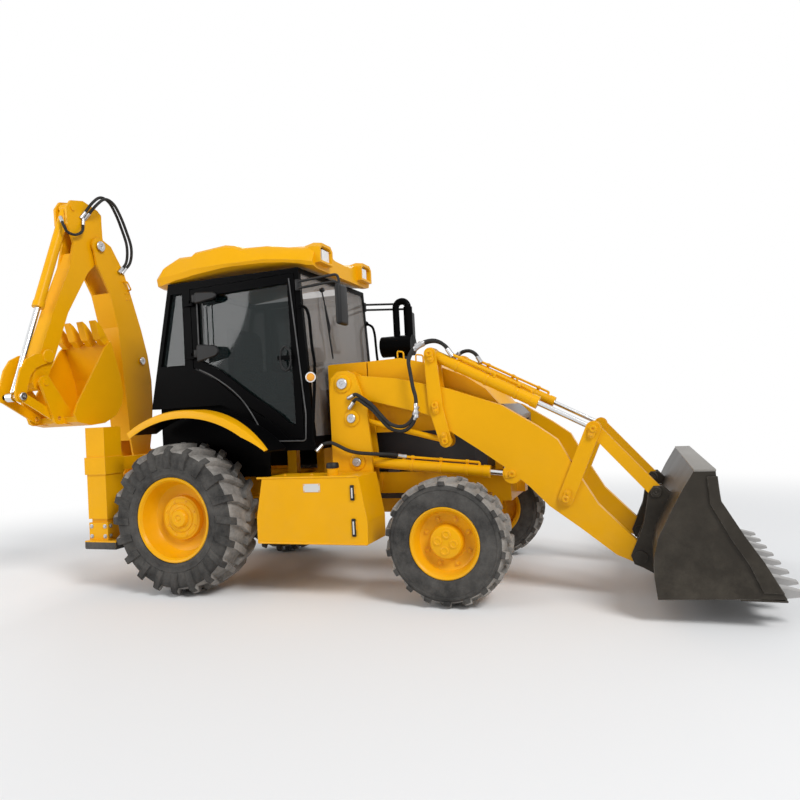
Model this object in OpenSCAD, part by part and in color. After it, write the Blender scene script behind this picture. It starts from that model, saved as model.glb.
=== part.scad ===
// Backhoe loader as separate named pieces, in millimetres.
// X points forward, Y to the left, Z up; the floor is z = 0 and the rear axle stands over the origin.

/* [Wheels] */
// Distance between the axles
wheelbase = 2370; // [2330:5:2420]
// Rear tyre diameter over the lugs
rear_d = 1300; // [1260:5:1310]
// Rear tyre width
rear_w = 450; // [420:5:455]
// Distance between the rear tyre centres
rear_track = 1750; // [1740:5:1790]
// Front tyre diameter over the lugs
front_d = 963; // [920:1:970]
// Front tyre width
front_w = 320; // [300:5:325]
// Distance between the front tyre centres
front_track = 1770; // [1760:5:1790]
// Height of a rear lug over the carcass
rear_lug_h = 36; // [28:1:46]
// Height of a front lug over the carcass
front_lug_h = 26; // [18:1:32]
// Lugs on each half of a rear tyre
rear_lugs = 22; // [18:1:24]
// Lugs on each half of a front tyre
front_lugs = 18; // [14:1:20]

/* [Loader] */
// Width of the loader bucket
bucket_w = 2268; // [2200:2:2400]
// Middle of a loader arm, from the machine's centre plane
arm_y = 530; // [526:1:534]
// Thickness of a loader arm across the machine
arm_t = 90; // [80:1:92]
// Radius of the loader pivot pins
pin_r = 26; // [20:1:30]
// Radius of the lift cylinder barrels
lift_r = 45; // [40:1:46]
// Radius of the tilt cylinder barrels
tilt_r = 46; // [38:1:50]
// Teeth on the loader bucket
bucket_teeth = 8; // [6:1:9]

/* [Cab] */
// Width of the cab over its side walls
cab_w = 1440; // [1400:5:1450]
// Thickness of the cab's walls
wall = 40; // [30:1:50]
// Thickness of the glass
glass_t = 8; // [5:1:10]

/* [Backhoe] */
// Width of the digging bucket
hoe_w = 580; // [480:5:585]
// Width of the dipper
dipper_w = 160; // [150:1:164]
// Radius of the digging cylinders' barrels
hoe_r = 46; // [38:1:50]
// Side of a stabilizer's leg
leg_s = 170; // [160:1:172]

/* [Hidden] */
$fn = 64;
// Play round a turning pin, play round a sliding rod, and the gap between moving pieces
play = 0.08;
slip = 0.3;
gap = 5;
rear_r = rear_d / 2;
front_r = front_d / 2;
rear_rim = 0.525 * rear_r;
front_rim = 0.515 * front_r;
rear_y = rear_track / 2;
front_y = front_track / 2;
// Loader pins in the side view, as [x, z]
pA = [1433, 1728];
pM = [2232, 1508];
lev = [70, -295];
pB = pA + lev;
pN = pM + lev;
pC = [1534, 1067];
pT = [2207, 1924];
pE = [2817, 940];
pF = [3444, 1268];
pG = [3217, 747];
pH = [3856, 793];
pP = [3728, 323];
arm_in = arm_y - arm_t / 2;
arm_out = arm_y + arm_t / 2;
lev_t = 16;
lev_in = arm_in - gap;
lev_out = arm_out + gap;
// Backhoe pins in its own plane, as [distance from the kingpost, z]; the plane stands across the machine
king_x = -1285;
king_y = 200;
qO = [250, 950];
qD = [715, 3257];
qK = [1453, 1891];
dip_l = norm(qK - qD);
dip_e = (qK - qD) / dip_l;
dip_n = [-dip_e[1], dip_e[0]];
function dip(a, b) = qD + a * dip_e + b * dip_n;
qL0 = dip(1300, 40);
qL1 = dip(1764, 130);
qK1 = dip(1772, -267);
qY = dip(-146, 398);
qX = dip(-278, 122);
qW = [30, 1150];
qV = [170, 1800];
qS = [190, 2150];
dip_h = dipper_w / 2;
boom_in = 100;
boom_out = 120;
hoe_h = hoe_w / 2;
cab_o = cab_w / 2;
cab_i = cab_o - wall;
hinge_x = 64;
hinge_y = cab_o + 25;
rail_z0 = rear_r + 120;
rail_z1 = rail_z0 + 180;
leg_x = -870;
leg_y = 885;
leg_h = leg_s / 2;
tube_h = 105;
band_h = 117;
yellow = [0.93, 0.66, 0.05];
black = [0.10, 0.10, 0.11];
steel = [0.75, 0.76, 0.78];
grey = [0.35, 0.36, 0.38];

// A plate cut to a side-view outline, between two distances from the centre plane
module xz(pts, y0, y1) {
  translate([0, y1, 0]) rotate([90, 0, 0]) linear_extrude(y1 - y0) polygon(pts);
}
// A plate cut to a front-view outline, between two x values
module yz(pts, x0, x1) {
  translate([x0, 0, 0]) rotate([90, 0, 90]) linear_extrude(x1 - x0) polygon(pts);
}
// A box from corner to corner
module box(a, b) {
  translate(a) cube(b - a);
}
// A round bar along Y through a side-view point
module rod_y(p, r, y0, y1) {
  translate([p[0], y0, p[1]]) rotate([-90, 0, 0]) cylinder(r = r, h = y1 - y0);
}
// A round bar along X in a piece's own line
module rod_x(r, x0, x1) {
  translate([x0, 0, 0]) rotate([0, 90, 0]) cylinder(r = r, h = x1 - x0);
}
// Turns a piece's own X line to run from p towards q in the side view
module along(p, q) {
  translate([p[0], 0, p[1]]) rotate([0, -atan2(q[1] - p[1], q[0] - p[0]), 0]) children();
}
// The same piece on the left and the right
module sides() {
  children();
  mirror([0, 1, 0]) children();
}
// A flat link with round ends, between two points
module link(p, q, r, y0, y1) {
  a = atan2(q[1] - p[1], q[0] - p[0]);
  xz(concat(arc(p, r, a + 90, a + 270, 14), arc(q, r, a - 90, a + 90, 14)), y0, y1);
}
// A cylinder's barrel from its pin: eye, tube, gland and a bore for the rod
module barrel(len, r, rod, from, eye, half) {
  difference() {
    union() {
      rod_y([0, 0], eye, -half, half);
      rod_x(r, eye * 0.6, len);
      rod_x(r + 5, len - 55, len);
    }
    rod_x(rod + slip, from, len + 1);
  }
}
// A cylinder's rod from its inner end to the eye, measured from the barrel's pin
module ram(rod, from, len, eye, half) {
  difference() {
    union() {
      rod_x(rod, from, len - eye * 0.6);
      rod_y([len, 0], eye, -half, half);
    }
    rod_y([len, 0], eye * 0.55, -half - 1, half + 1);
  }
}
// Puts a piece drawn in the backhoe's own plane where it is parked
module hoe() {
  translate([king_x, king_y, 0]) rotate([0, 0, -90]) children();
}
function arc(c, r, a0, a1, n) = [for (i = [0:n]) c + r * [cos(a0 + (a1 - a0) * i / n),
  sin(a0 + (a1 - a0) * i / n)]];
function rev(l) = [for (i = [len(l) - 1:-1:0]) l[i]];

tower = [[1316, 780], [1660, 780], [1668, 1150], [1640, 1500], [1545, 1800], [1480, 1835], [1390, 1835],
  [1325, 1780], [1306, 1640], [1306, 1100]];

module chassis_frame() {
  color(yellow) difference() {
    union() {
      sides() {
        box([-760, 260, rail_z0], [wheelbase + 330, 330, rail_z1]);
        xz(tower, lev_in - 30, lev_in);
        xz(tower, lev_out, lev_out + 28);
        box([1306, lev_in - 30, 780], [1326, lev_out + 28, 1500]);
        box([1340, 330, 790], [1640, lev_in - 30, 940]);
        box([1326, lev_in, 780], [1660, lev_out, 830]);
        rod_y(pB, pin_r, lev_in - 45, lev_out + 42);
        rod_y(pC, pin_r, lev_in - 45, lev_out + 42);
        rod_y(pA, pin_r + 8, lev_in - 45, lev_out + 42);
        box([900, 330, 800], [1000, 620, 880]);
        box([1180, 330, 800], [1280, 620, 880]);
        box([720, 260, rail_z1], [810, 330, 1187]);
        box([1090, 260, rail_z1], [1180, 330, 1187]);
        box([-330, 260, rail_z1], [-250, 330, 1580]);
      }
      box([-640, -260, 800], [-560, 260, 920]);
      box([620, -260, 800], [700, 260, 920]);
      box([1316, -260, 800], [1396, 260, 920]);
      box([wheelbase - 150, -260, 640], [wheelbase + 150, 260, 800]);
      box([2600, -330, 700], [2760, 330, 960]);
      box([2760, -60, 740], [2830, 60, 860]);
      sides() {
        xz([[2640, 940], [2640, 1205], [2785, 1205], [2785, 1152], [2700, 1152], [2700, 940]], 300, 330);
        rod_y(hood_pin, 12, 300, 419);
      }
    }
    translate([2800, 0, 730]) cylinder(r = 22, h = 140);
  }
}

module engine_block() {
  color(grey) {
    box([1500, -210, 960], [2450, 210, 1500]);
    box([1480, -150, 700], [2160, 150, 960]);
    box([1700, -330, rail_z1], [1800, 330, 1000]);
    box([2470, -300, 962], [2570, 300, 1450]);
    box([2450, -60, 1000], [2470, 60, 1300]);
  }
}

hood_pin = [2765, 1180];
hood_line = [[1592, 1300], [1592, 1915], [1891, 1924], [2180, 1850], [2447, 1733], [2610, 1620], [2716,
  1490], [2735, 1300]];
hood_core = [[1500, 1290], [1500, 1896], [1889, 1905], [2172, 1832], [2437, 1716], [2596, 1606], [2698,
  1484], [2760, 1470], [2760, 1290]];
module hood() {
  color(yellow) difference() {
    xz(hood_line, -420, 420);
    xz(hood_core, -404, 404);
  }
}

cowl_line = [[1215, 1430], [1215, 1905], [1245, 1912], [1580, 1915], [1580, 1300], [1345, 1300]];
module hood_cowl() {
  color(yellow) difference() {
    xz(cowl_line, -420, 420);
    xz([[1190, 1440], [1190, 1890], [1600, 1896], [1600, 1280], [1360, 1280]], -404, 404);
  }
  color(yellow) box([1340, -420, rail_z1], [1390, 420, 1300]);
}

module front_grille() {
  color(grey) difference() {
    xz([[2735, 1300], [2716, 1490], [2745, 1490], [2838, 1400], [2838, 1120], [2735, 1120]], -420, 420);
    for (i = [0:7]) box([2800, -330, 1150 + i * 28], [2850, 330, 1162 + i * 28]);
    box([2700, -400, 1110], [2805, 400, 1430]);
    rod_y(hood_pin, 12 + play, -430, 430);
  }
}

module exhaust() {
  color(black) {
    xz([[1620, 1916.4], [1720, 1919.4], [1720, 2030], [1620, 2030]], 200, 300);
    translate([1490, 250, 2095]) rotate([0, 90, 0]) cylinder(r = 100, h = 310);
    translate([1640, 250, 2100]) cylinder(r = 32, h = 360);
    translate([1760, 250, 2100]) cylinder(r = 42, h = 360);
    translate([1700, 250, 2460]) rotate([90, 0, 0]) rotate_extrude(angle = 180) translate([60,
      0]) circle(r = 32);
  }
}

fender_c = [146, rear_r - 155];
fender_r = rear_r + 433;
fender_in = arc(fender_c, fender_r - 19, 122, 42, 16);
cab_side = [[-448, 1605], [-373, 1950], [-207, 2735], [1122, 2735], [1200, 1290], [1206, 1187], [700, 1187],
  [640, 1330], [560, 1460], [430, 1560], [300, 1610]];
door_line = [[29, 2660], [1077, 2690], [1104, 1285], [975, 1288], [870, 1395], [780, 1458], [700, 1508],
  [620, 1556], [496, 1650], [250, 1854], [34, 1960]];
door_hole = [[21, 2668], [1085, 2698], [1112, 1277], [971, 1279], [864, 1389], [775, 1450], [695, 1500],
  [614, 1549], [490, 1644], [245, 1846], [25, 1953]];
door_win = [[95, 2590], [1012, 2618], [1034, 1400], [960, 1420], [890, 1490], [760, 1580], [640, 1660],
  [540, 1735], [290, 1925], [100, 2015]];
quarter = [[-325, 1990], [-62, 1990], [-62, 2640], [-185, 2640]];
arch_wall = [[-430, 1615], [305, 1620], [437, 1570], [570, 1470], [650, 1335], [708, 1197], [700, 960],
  [-430, 960]];
module cab_shell() {
  color(black) {
    difference() {
      union() {
        sides() {
          xz(cab_side, cab_i, cab_o);
          for (z = [2065, 2540]) {
            box([-50, cab_o, z - 28], [20, cab_o + 14, z + 28]);
            box([-10, cab_o, z - 28], [hinge_x, hinge_y + 14, z - 8]);
            translate([hinge_x, hinge_y, z - 28]) cylinder(r = 14, h = 20);
            translate([hinge_x, hinge_y, z - 28]) cylinder(r = 7, h = 54);
          }
        }
        xz([[1206, 1187], [700, 1187], [640, 1330], [560, 1460], [430, 1560], [300, 1610], [-448, 1605],
          [-373, 1950], [-343, 1950], [-414, 1640], [310, 1642], [446, 1589], [582, 1480], [668, 1340],
            [720, 1220], [1160, 1220], [1156, 1300], [1200, 1300]], -cab_i, cab_i);
        sides() xz(arch_wall, 600, 612);
        box([-205, -cab_i, 2690], [-150, cab_i, 2735]);
        box([1070, -cab_i, 2690], [1122, cab_i, 2735]);
        box([-330, -330, 1580], [-250, 330, 1607]);
      }
      sides() {
        xz(door_hole, cab_i - 20, cab_o + 1);
        xz(quarter, cab_i - 20, cab_o + 1);
      }
    }
    sides() {
      xz(concat(fender_in, rev(arc(fender_c, fender_r - 37, 122, 42, 16))), cab_o, 1070);
    }
  }
}

roof_side = [[-383, 2735], [1255, 2735], [1268, 2780], [1262, 2880], [1000, 2950], [800, 2995], [480, 3032],
  [120, 3024], [60, 2998], [-110, 2998], [-290, 2935], [-360, 2870], [-395, 2790]];
roof_front = [[-745, 2735], [745, 2735], [770, 2815], [700, 2960], [560, 3035], [-560, 3035], [-700, 2960],
  [-770, 2815]];
roof_plan = [[-400, -600], [-350, -720], [-100, -775], [600, -775], [1000, -715], [1270, -640], [1270, 640],
  [1000, 715], [600, 775], [-100, 775], [-350, 720], [-400, 600]];
pod_line = [[990, 2900], [1262, 2790], [1265, 2968], [1230, 2976], [1100, 2962]];
module cab_roof() {
  color(yellow) difference() {
    union() {
      intersection() {
        xz(roof_side, -800, 800);
        yz(roof_front, -420, 1400);
        translate([0, 0, 2700]) linear_extrude(400) polygon(roof_plan);
      }
      sides() xz(pod_line, 250, 600);
    }
    box([-300, -640, 2730], [1130, 640, 2890]);
    sides() {
      box([1215, 350, 2800], [1400, 520, 2930]);
      box([-420, 350, 2790], [-330, 500, 2870]);
    }
  }
}

module cab_glass() {
  color([0.10, 0.20, 0.22]) {
    xz([[1186, 1300], [1194, 1300], [1117, 2690], [1109, 2690]], -cab_i, cab_i);
    xz([[-373, 1950], [-365, 1950], [-200, 2690], [-208, 2690]], -cab_i, cab_i);
    sides() xz([[-350, 1970], [-45, 1970], [-45, 2660], [-195, 2660]], cab_i - glass_t, cab_i);
  }
}

module cab_interior() {
  color(grey) {
    box([150, -250, 1642], [620, 250, 1700]);
    box([130, -240, 1700], [600, 240, 1800]);
    box([60, -220, 1700], [130, 220, 2350]);
    box([930, -420, 1220], [1120, 420, 1700]);
    translate([950, 0, 1620]) rotate([0, -30, 0]) {
      cylinder(r = 30, h = 300);
      translate([0, 0, 300]) rotate_extrude() translate([170, 0]) circle(r = 15, $fn = 24);
      translate([-170, -12, 292]) cube([340, 24, 16]);
    }
    box([150, 300, 1642], [620, 420, 1900]);
    box([150, -420, 1642], [620, -300, 1900]);
  }
}

module door() {
  difference() {
    union() {
      xz(door_line, cab_i, cab_o);
      for (z = [2065, 2540]) {
        box([hinge_x, cab_o, z - 7], [300, hinge_y + 4, z + 27]);
        translate([hinge_x, hinge_y, z - 7]) cylinder(r = 14, h = 34);
      }
      box([900, cab_o, 1960], [1040, cab_o + 26, 1996]);
    }
    xz(door_win, cab_i - 1, cab_o + 1);
    for (z = [2065, 2540]) translate([hinge_x, hinge_y, z - 30]) cylinder(r = 7 + play, h = 80);
  }
}
module door_glass() {
  xz([[80, 2605], [1026, 2634], [1050, 1385], [955, 1400], [880, 1475], [750, 1566], [630, 1646], [530,
    1722], [280, 1912], [84, 2004]], cab_i - glass_t, cab_i);
}
module door_left() {
  color(black) door();
}
module door_right() {
  color(black) mirror([0, 1, 0]) door();
}
module door_glass_left() {
  color([0.10, 0.20, 0.22]) door_glass();
}
module door_glass_right() {
  color([0.10, 0.20, 0.22]) mirror([0, 1, 0]) door_glass();
}

module lamps() {
  color([0.9, 0.9, 0.85]) sides() {
    box([1215, 365, 2812], [1252, 505, 2918]);
    box([-362, 365, 2800], [-330, 485, 2860]);
  }
}

module mirrors() {
  color(black) sides() {
    box([1092, cab_o, 2540], [1126, cab_o + 14, 2630]);
    for (z = [2610, 2560]) translate([1110, cab_o + 10, z]) rotate([0, 90, 20]) cylinder(r = 9, h = 485);
    box([1560, 780, 2190], [1592, 960, 2640]);
  }
}

module fenders() {
  color(yellow) sides() {
    xz(concat(arc(fender_c, fender_r, 122, 42, 16), rev(fender_in)), cab_o, 1070);
    xz(concat(arc(fender_c, fender_r, 122, 42, 16), rev(arc([85, rear_r - 530], fender_r + 290, 111.5,
      52, 14))), 1070, 1092);
  }
}

tank_x = wheelbase - 615;
tank_line = [[783, 458], [tank_x, 458], [tank_x + 5, 640], [tank_x - 55, 985], [848, 985], [785, 662]];
module side_tanks() {
  color(yellow) sides() {
    xz(tank_line, 620, 1000);
    translate([1421, 860, 985]) cylinder(r = 45, h = 60);
    box([1640, 1000, 850], [1670, 1008, 910]);
    box([1640, 1000, 570], [1670, 1008, 640]);
  }
}

module rear_axle() {
  color(yellow) {
    rod_y([0, rear_r], 110, -rear_y + 190, rear_y - 190);
    rod_y([0, rear_r], 190, -170, 170);
    sides() {
      box([-90, 255, rear_r], [90, 335, rail_z0]);
      rod_y([0, rear_r], 150, rear_y - 190, rear_y - 60);
      rod_y([0, rear_r], 60, rear_y - 70, rear_y + 110);
    }
  }
}

module front_axle() {
  color(yellow) difference() {
    union() {
      box([wheelbase - 70, 245 - front_y, front_r - 65], [wheelbase + 70, front_y - 245, front_r + 65]);
      box([wheelbase - 90, -140, front_r], [wheelbase + 90, 140, 640]);
      sides() {
        box([wheelbase - 55, front_y - 285, front_r - 65], [wheelbase + 55, front_y - 170, front_r + 65]);
        translate([wheelbase, front_y - 170, front_r - 65]) cylinder(r = 55, h = 130);
      }
    }
    sides() translate([wheelbase, front_y - 170, front_r - 70]) cylinder(r = 25 + play, h = 140);
  }
}

module knuckle() {
  for (s = [-1, 1]) translate([wheelbase, front_y - 170, front_r + s * 88 - 17]) cylinder(r = 50, h = 34);
  translate([wheelbase, front_y - 170, front_r - 90]) cylinder(r = 25, h = 180);
  for (s = [-1, 1]) box([wheelbase - 50, front_y - 170, front_r + s * 88 - 17], [wheelbase + 50,
    front_y - 80, front_r + s * 88 + 17]);
  box([wheelbase - 90, front_y - 105, front_r - 105], [wheelbase + 90, front_y - 75, front_r + 105]);
  rod_y([wheelbase, front_r], 45, front_y - 80, front_y + 90);
}
module knuckle_left() {
  color(yellow) knuckle();
}
module knuckle_right() {
  color(yellow) mirror([0, 1, 0]) knuckle();
}

// A lugged tyre standing on its axle line; its lugs lead at the middle of the tread
module tyre(r, w, rim, n, lean, lug_h) {
  c = r - lug_h;
  // A lug's leading corner stands straight down
  turn = 180 - asin((lean + PI * r / 68) / r);
  mirror([1, 0, 0]) union() {
    rotate([90, 0, 0]) rotate_extrude($fn = 96) polygon([[rim, -0.4 * w], [rim, 0.4 * w], [rim + 23,
      0.4 * w], [rim + 23, 0.4 * w + 15],
      [rim + 0.4 * (c - rim), 0.5 * w - 12], [c - 0.3 * (c - rim), 0.5 * w - 8], [c - 22, 0.45 * w], [c,
        0.34 * w],
      [c, -0.34 * w], [c - 22, -0.45 * w], [c - 0.3 * (c - rim), 8 - 0.5 * w], [rim + 0.4 * (c - rim),
        12 - 0.5 * w],
      [rim + 23, -0.4 * w - 15], [rim + 23, -0.4 * w]]);
    for (i = [0:n - 1]) for (s = [0, 1]) rotate([0, turn + (i + s / 2) * 360 / n, 0]) mirror([0, s, 0])
      lug(r, w, c, lean);
  }
}
// One lug: a slanted bar from the tread's middle out over the shoulder
module lug(r, w, c, lean) {
  h = w / 2;
  k = PI * r / 34;
  top = sqrt(r * r - pow(lean + k / 2, 2));
  translate([0, 0, c - 40]) linear_extrude(top - c + 40) polygon([[-k / 2, -6], [k / 2, -6],
    [lean * 0.55 + k / 2, h * 0.5], [lean + k / 2, h - 2], [lean - k / 2, h - 2], [lean * 0.55 - k / 2,
    h * 0.5]]);
}
module tyre_rear_left() {
  color(black) translate([0, rear_y, rear_r]) tyre(rear_r, rear_w, rear_rim, rear_lugs, 95, rear_lug_h);
}
module tyre_rear_right() {
  color(black) translate([0, -rear_y, rear_r]) tyre(rear_r, rear_w, rear_rim, rear_lugs, 95, rear_lug_h);
}
module tyre_front_left() {
  color(black) translate([wheelbase, front_y, front_r]) tyre(front_r, front_w, front_rim, front_lugs, 60,
    front_lug_h);
}
module tyre_front_right() {
  color(black) translate([wheelbase, -front_y, front_r]) tyre(front_r, front_w, front_rim, front_lugs,
    60, front_lug_h);
}

// A wheel rim: bead seats, flanges, a dished disc at d from the middle and a hub with its bore
module rim(r, w, d, hub, bore) {
  b = 0.4 * w;
  rotate([-90, 0, 0]) rotate_extrude($fn = 96) polygon([[r - slip, -b], [r + 22, -b], [r + 22, -b - 14],
    [r - 40, -b - 14],
    [r - 40, d - 12], [hub, d - 12], [hub, d - 60], [bore, d - 60], [bore, d + 30], [hub * 0.9, d + 30],
    [hub, d + 12], [r - 40, d + 12], [r - 40, b + 14], [r + 22, b + 14], [r + 22, b], [r - slip, b]]);
}
module rim_rear_left() {
  color(yellow) translate([0, rear_y, rear_r]) rim(rear_rim, rear_w, 40, 170, 60 + play);
}
module rim_rear_right() {
  color(yellow) translate([0, -rear_y, rear_r]) mirror([0, 1, 0]) rim(rear_rim, rear_w, 40, 170, 60 + play);
}
module rim_front_left() {
  color(yellow) translate([wheelbase, front_y, front_r]) rim(front_rim, front_w, 40, 110, 45 + play);
}
module rim_front_right() {
  color(yellow) translate([wheelbase, -front_y, front_r]) mirror([0, 1, 0]) rim(front_rim, front_w, 40,
    110, 45 + play);
}

arm_line = concat(arc(pA, 92, 95, 250, 8), [[1706, 1561], [2100, 1452], [2201, 1413], [2320, 1303],
  [2560, 1142],
  [2778, 985], [2950, 840], [3091, 690], [3320, 520], [3560, 330]], arc(pP, 66, 220, 400, 8), [[3671,
    470], [3450, 700],
  [3300, 960], [3177, 1193], [3020, 1310], [2758, 1480], [2322, 1639], [1900, 1745], [1500, 1800]]);
module loader_arms() {
  color(yellow) difference() {
    union() {
      sides() {
        xz(arm_line, arm_in, arm_out);
        rod_y(pE, 75, arm_in, arm_out);
      }
    }
    sides() {
      rod_y(pA, pin_r + 8 + play, arm_in - 1, arm_out + 1);
      rod_y(pM, pin_r + play, arm_in - 1, arm_out + 1);
      rod_y(pG, pin_r + play, arm_in - 1, arm_out + 1);
      rod_y(pP, pin_r + 6 + play, arm_in - 1, arm_out + 1);
      xz([[2600, 800], [2600, 1050], [2760, 1075], [2900, 1060], [2935, 930], [2900, 780]], arm_y - 31,
        arm_y + 31);
    }
  }
}

module arm_tube() {
  color(yellow) rod_y([3010, 1000], 60, -arm_in, arm_in);
}

lift_l = norm(pE - pC);
module lift_barrels() {
  color(yellow) sides() translate([0, arm_y, 0]) along(pC, pE) difference() {
    barrel(1112, lift_r, 25, 200, 58, 40);
    rod_y([0, 0], pin_r + play, -60, 60);
  }
}
module lift_rods() {
  color(steel) sides() translate([0, arm_y, 0]) along(pC, pE) ram(25, 300, lift_l, 48, 22);
}

lever_line = concat(arc(pT, 50, 0, 180, 12), [pM - [60, -20], pM - [56, 30]], arc(pN, 50, 190, 365, 12),
  [pM + [60, -20], pM + [58, 40]]);
module rear_levers() {
  color(yellow) sides() {
    for (y = [lev_in - lev_t, lev_out]) xz(lever_line, y, y + lev_t);
    rod_y(pM, pin_r, lev_in - lev_t - 10, lev_out + lev_t + 10);
    rod_y(pT, pin_r, lev_in - lev_t - 10, lev_out + lev_t + 10);
  }
}
module level_links() {
  color(yellow) sides() translate([0, arm_y, 0]) difference() {
    union() {
      along(pB, pN) rod_x(24, 30, norm(pN - pB) - 30);
      rod_y(pB, 46, -25, 25);
      rod_y(pN, 46, -25, 25);
    }
    rod_y(pB, pin_r + play, -60, 60);
    rod_y(pN, 24, -60, 60);
  }
}

tilt_l = norm(pF - pT);
module tilt_barrels() {
  color(yellow) sides() translate([0, arm_y, 0]) along(pT, pF) difference() {
    barrel(946, tilt_r, 21, 110, 52, 40);
    rod_y([0, 0], pin_r + play, -60, 60);
  }
}
module tilt_rods() {
  color(steel) sides() translate([0, arm_y, 0]) along(pT, pF) ram(21, 400, tilt_l, 44, 20);
}

module lever_pins() {
  color(steel) sides() {
    rod_y(pG, pin_r, lev_in - lev_t - 12, lev_out + lev_t + 12);
    rod_y(pG, pin_r + 14, lev_out + lev_t + 1, lev_out + lev_t + 12);
    rod_y(pG, pin_r + 14, lev_in - lev_t - 12, lev_in - lev_t - 1);
  }
}
module front_levers() {
  color(yellow) sides() difference() {
    union() {
      for (y = [lev_in - lev_t, lev_out]) link(pG, pF, 56, y, y + lev_t);
    }
    rod_y(pG, pin_r + play, lev_in - lev_t - 20, lev_out + lev_t + 20);
    rod_y(pF, pin_r + play, lev_in - lev_t - 20, lev_out + lev_t + 20);
  }
}
module link_pins() {
  color(steel) sides() {
    rod_y(pF, pin_r, lev_in - lev_t - 14, lev_in + 26);
    rod_y(pF, pin_r + 12, lev_in - lev_t - 14, lev_in - lev_t - 2);
    rod_y(pF, pin_r, lev_out - 26, lev_out + lev_t + 14);
    rod_y(pF, pin_r + 12, lev_out + lev_t + 2, lev_out + lev_t + 14);
  }
}
module bucket_links() {
  color(yellow) sides() difference() {
    for (y = [lev_in + 4, lev_out - 24]) link(pF, pH, 46, y, y + 20);
    rod_y(pF, pin_r + play, lev_in - 1, lev_out + 1);
    rod_y(pH, 30, lev_in - 1, lev_out + 1);
  }
}

module bucket_pins() {
  color(steel) sides() {
    rod_y(pP, pin_r + 6, lev_in - 32, lev_out + 32);
    rod_y(pP, pin_r + 20, lev_out + 21, lev_out + 32);
    rod_y(pP, pin_r + 20, lev_in - 32, lev_in - 21);
  }
}
bucket_out = [[3820, 165], [4560, 200], [4440, 430], [4337, 591], [4212, 809], [4205, 995], [4078, 993],
  [3990, 850], [3905, 690], [3840, 560], [3812, 440], [3806, 300]];
bucket_cut = [[3850, 193], [4600, 226], [4480, 430], [4365, 600], [4240, 812], [4300, 967], [4092, 965],
  [4013, 840], [3928, 678], [3865, 552], [3838, 436], [3833, 300]];
module loader_bucket() {
  color(grey) difference() {
    union() {
      difference() {
        xz(bucket_out, -bucket_w / 2, bucket_w / 2);
        xz(bucket_cut, -bucket_w / 2 + 22, bucket_w / 2 - 22);
      }
      sides() for (y = [lev_in - 20, lev_out]) {
        xz([[3680, 270], [3740, 245], [3815.4, 205], [3805.6, 300], [3811.6, 440], [3839.6, 560],
          [3904.6, 690], [3952.2, 780], [3900, 838], [3840, 835], [3806, 790], [3760, 560], [3690, 400],
          [3660, 330]], y, y + 20);
      }
      for (i = [0:bucket_teeth - 1]) {
        y = (i + 0.5) * bucket_w / bucket_teeth - bucket_w / 2;
        xz([[4440, 193], [4440, 235], [4560, 240], [4690, 208], [4690, 202], [4560, 182]], y - 40, y + 40);
      }
    }
    sides() rod_y(pP, pin_r + 6 + play, lev_in - 60, lev_out + 60);
  }
}

module rear_frame() {
  color(yellow) difference() {
    union() {
      box([-960, -1000, 1060], [-860, 1000, 1180]);
      box([-960, tube_h - leg_y - 10, 620], [-860, leg_y - tube_h + 10, 720]);
      sides() {
        box([-960, 660, 620], [-860, 740, 1180]);
        box([-860, 230, 620], [-760, 400, 1180]);
        box([leg_x - tube_h, leg_y - tube_h, 645], [leg_x + tube_h, leg_y + tube_h, 1470]);
        box([leg_x - band_h, leg_y - band_h, 1045], [leg_x + band_h, leg_y + band_h, 1200]);
      }
    }
    sides() {
      box([leg_x - leg_h - slip, leg_y - leg_h - slip, 600], [leg_x + leg_h + slip, leg_y + leg_h + slip,
        1500]);
      box([leg_x - leg_h - 7, leg_y - leg_h - 7, 720], [leg_x + leg_h + 7, leg_y + leg_h + 7, 1400]);
    }
  }
}

module swing_carriage() {
  color(yellow) difference() {
    union() {
      box([-1000, king_y - 260, 580], [-960, king_y + 260, 1200]);
      for (z = [600, 830]) {
        box([king_x, king_y - 130, z], [-1000, king_y + 130, z + 70]);
        translate([king_x, king_y, z]) cylinder(r = 130, h = 70);
      }
    }
    translate([king_x, king_y, 500]) cylinder(r = 90 + play, h = 500);
  }
}

module stabilizer() {
  box([leg_x - leg_h, leg_y - leg_h, 520], [leg_x + leg_h, leg_y + leg_h, 1462]);
  box([leg_x - 104, leg_y - 104, 456], [leg_x + 104, leg_y + 104, 612]);
  box([leg_x - 115, leg_y - 150, 400], [leg_x + 230, leg_y + 150, 456]);
  box([leg_x - 105, leg_y - 130, 384], [leg_x + 220, leg_y + 130, 400]);
}
module stabilizer_left() {
  color(yellow) stabilizer();
}
module stabilizer_right() {
  color(yellow) mirror([0, 1, 0]) stabilizer();
}

module kingpost() {
  color(yellow) hoe() union() {
    translate([0, 0, 560]) cylinder(r = 90, h = 440);
    translate([0, 0, 905]) cylinder(r = 128, h = 60);
    for (w = [-95, 65]) {
      xz(concat([[-90, 906], [240, 906]], arc(qO, 68, -90, 70, 8), [[120, 1190]], arc(qW, 60, 20, 170,
        8), [[-90, 1000]]), w, w + 30);
    }
    rod_y(qO, 32, 70, boom_out + 22);
    rod_y(qO, 32, -boom_out - 22, -70);
    rod_y(qW, 28, -105, 105);
  }
}

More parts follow.
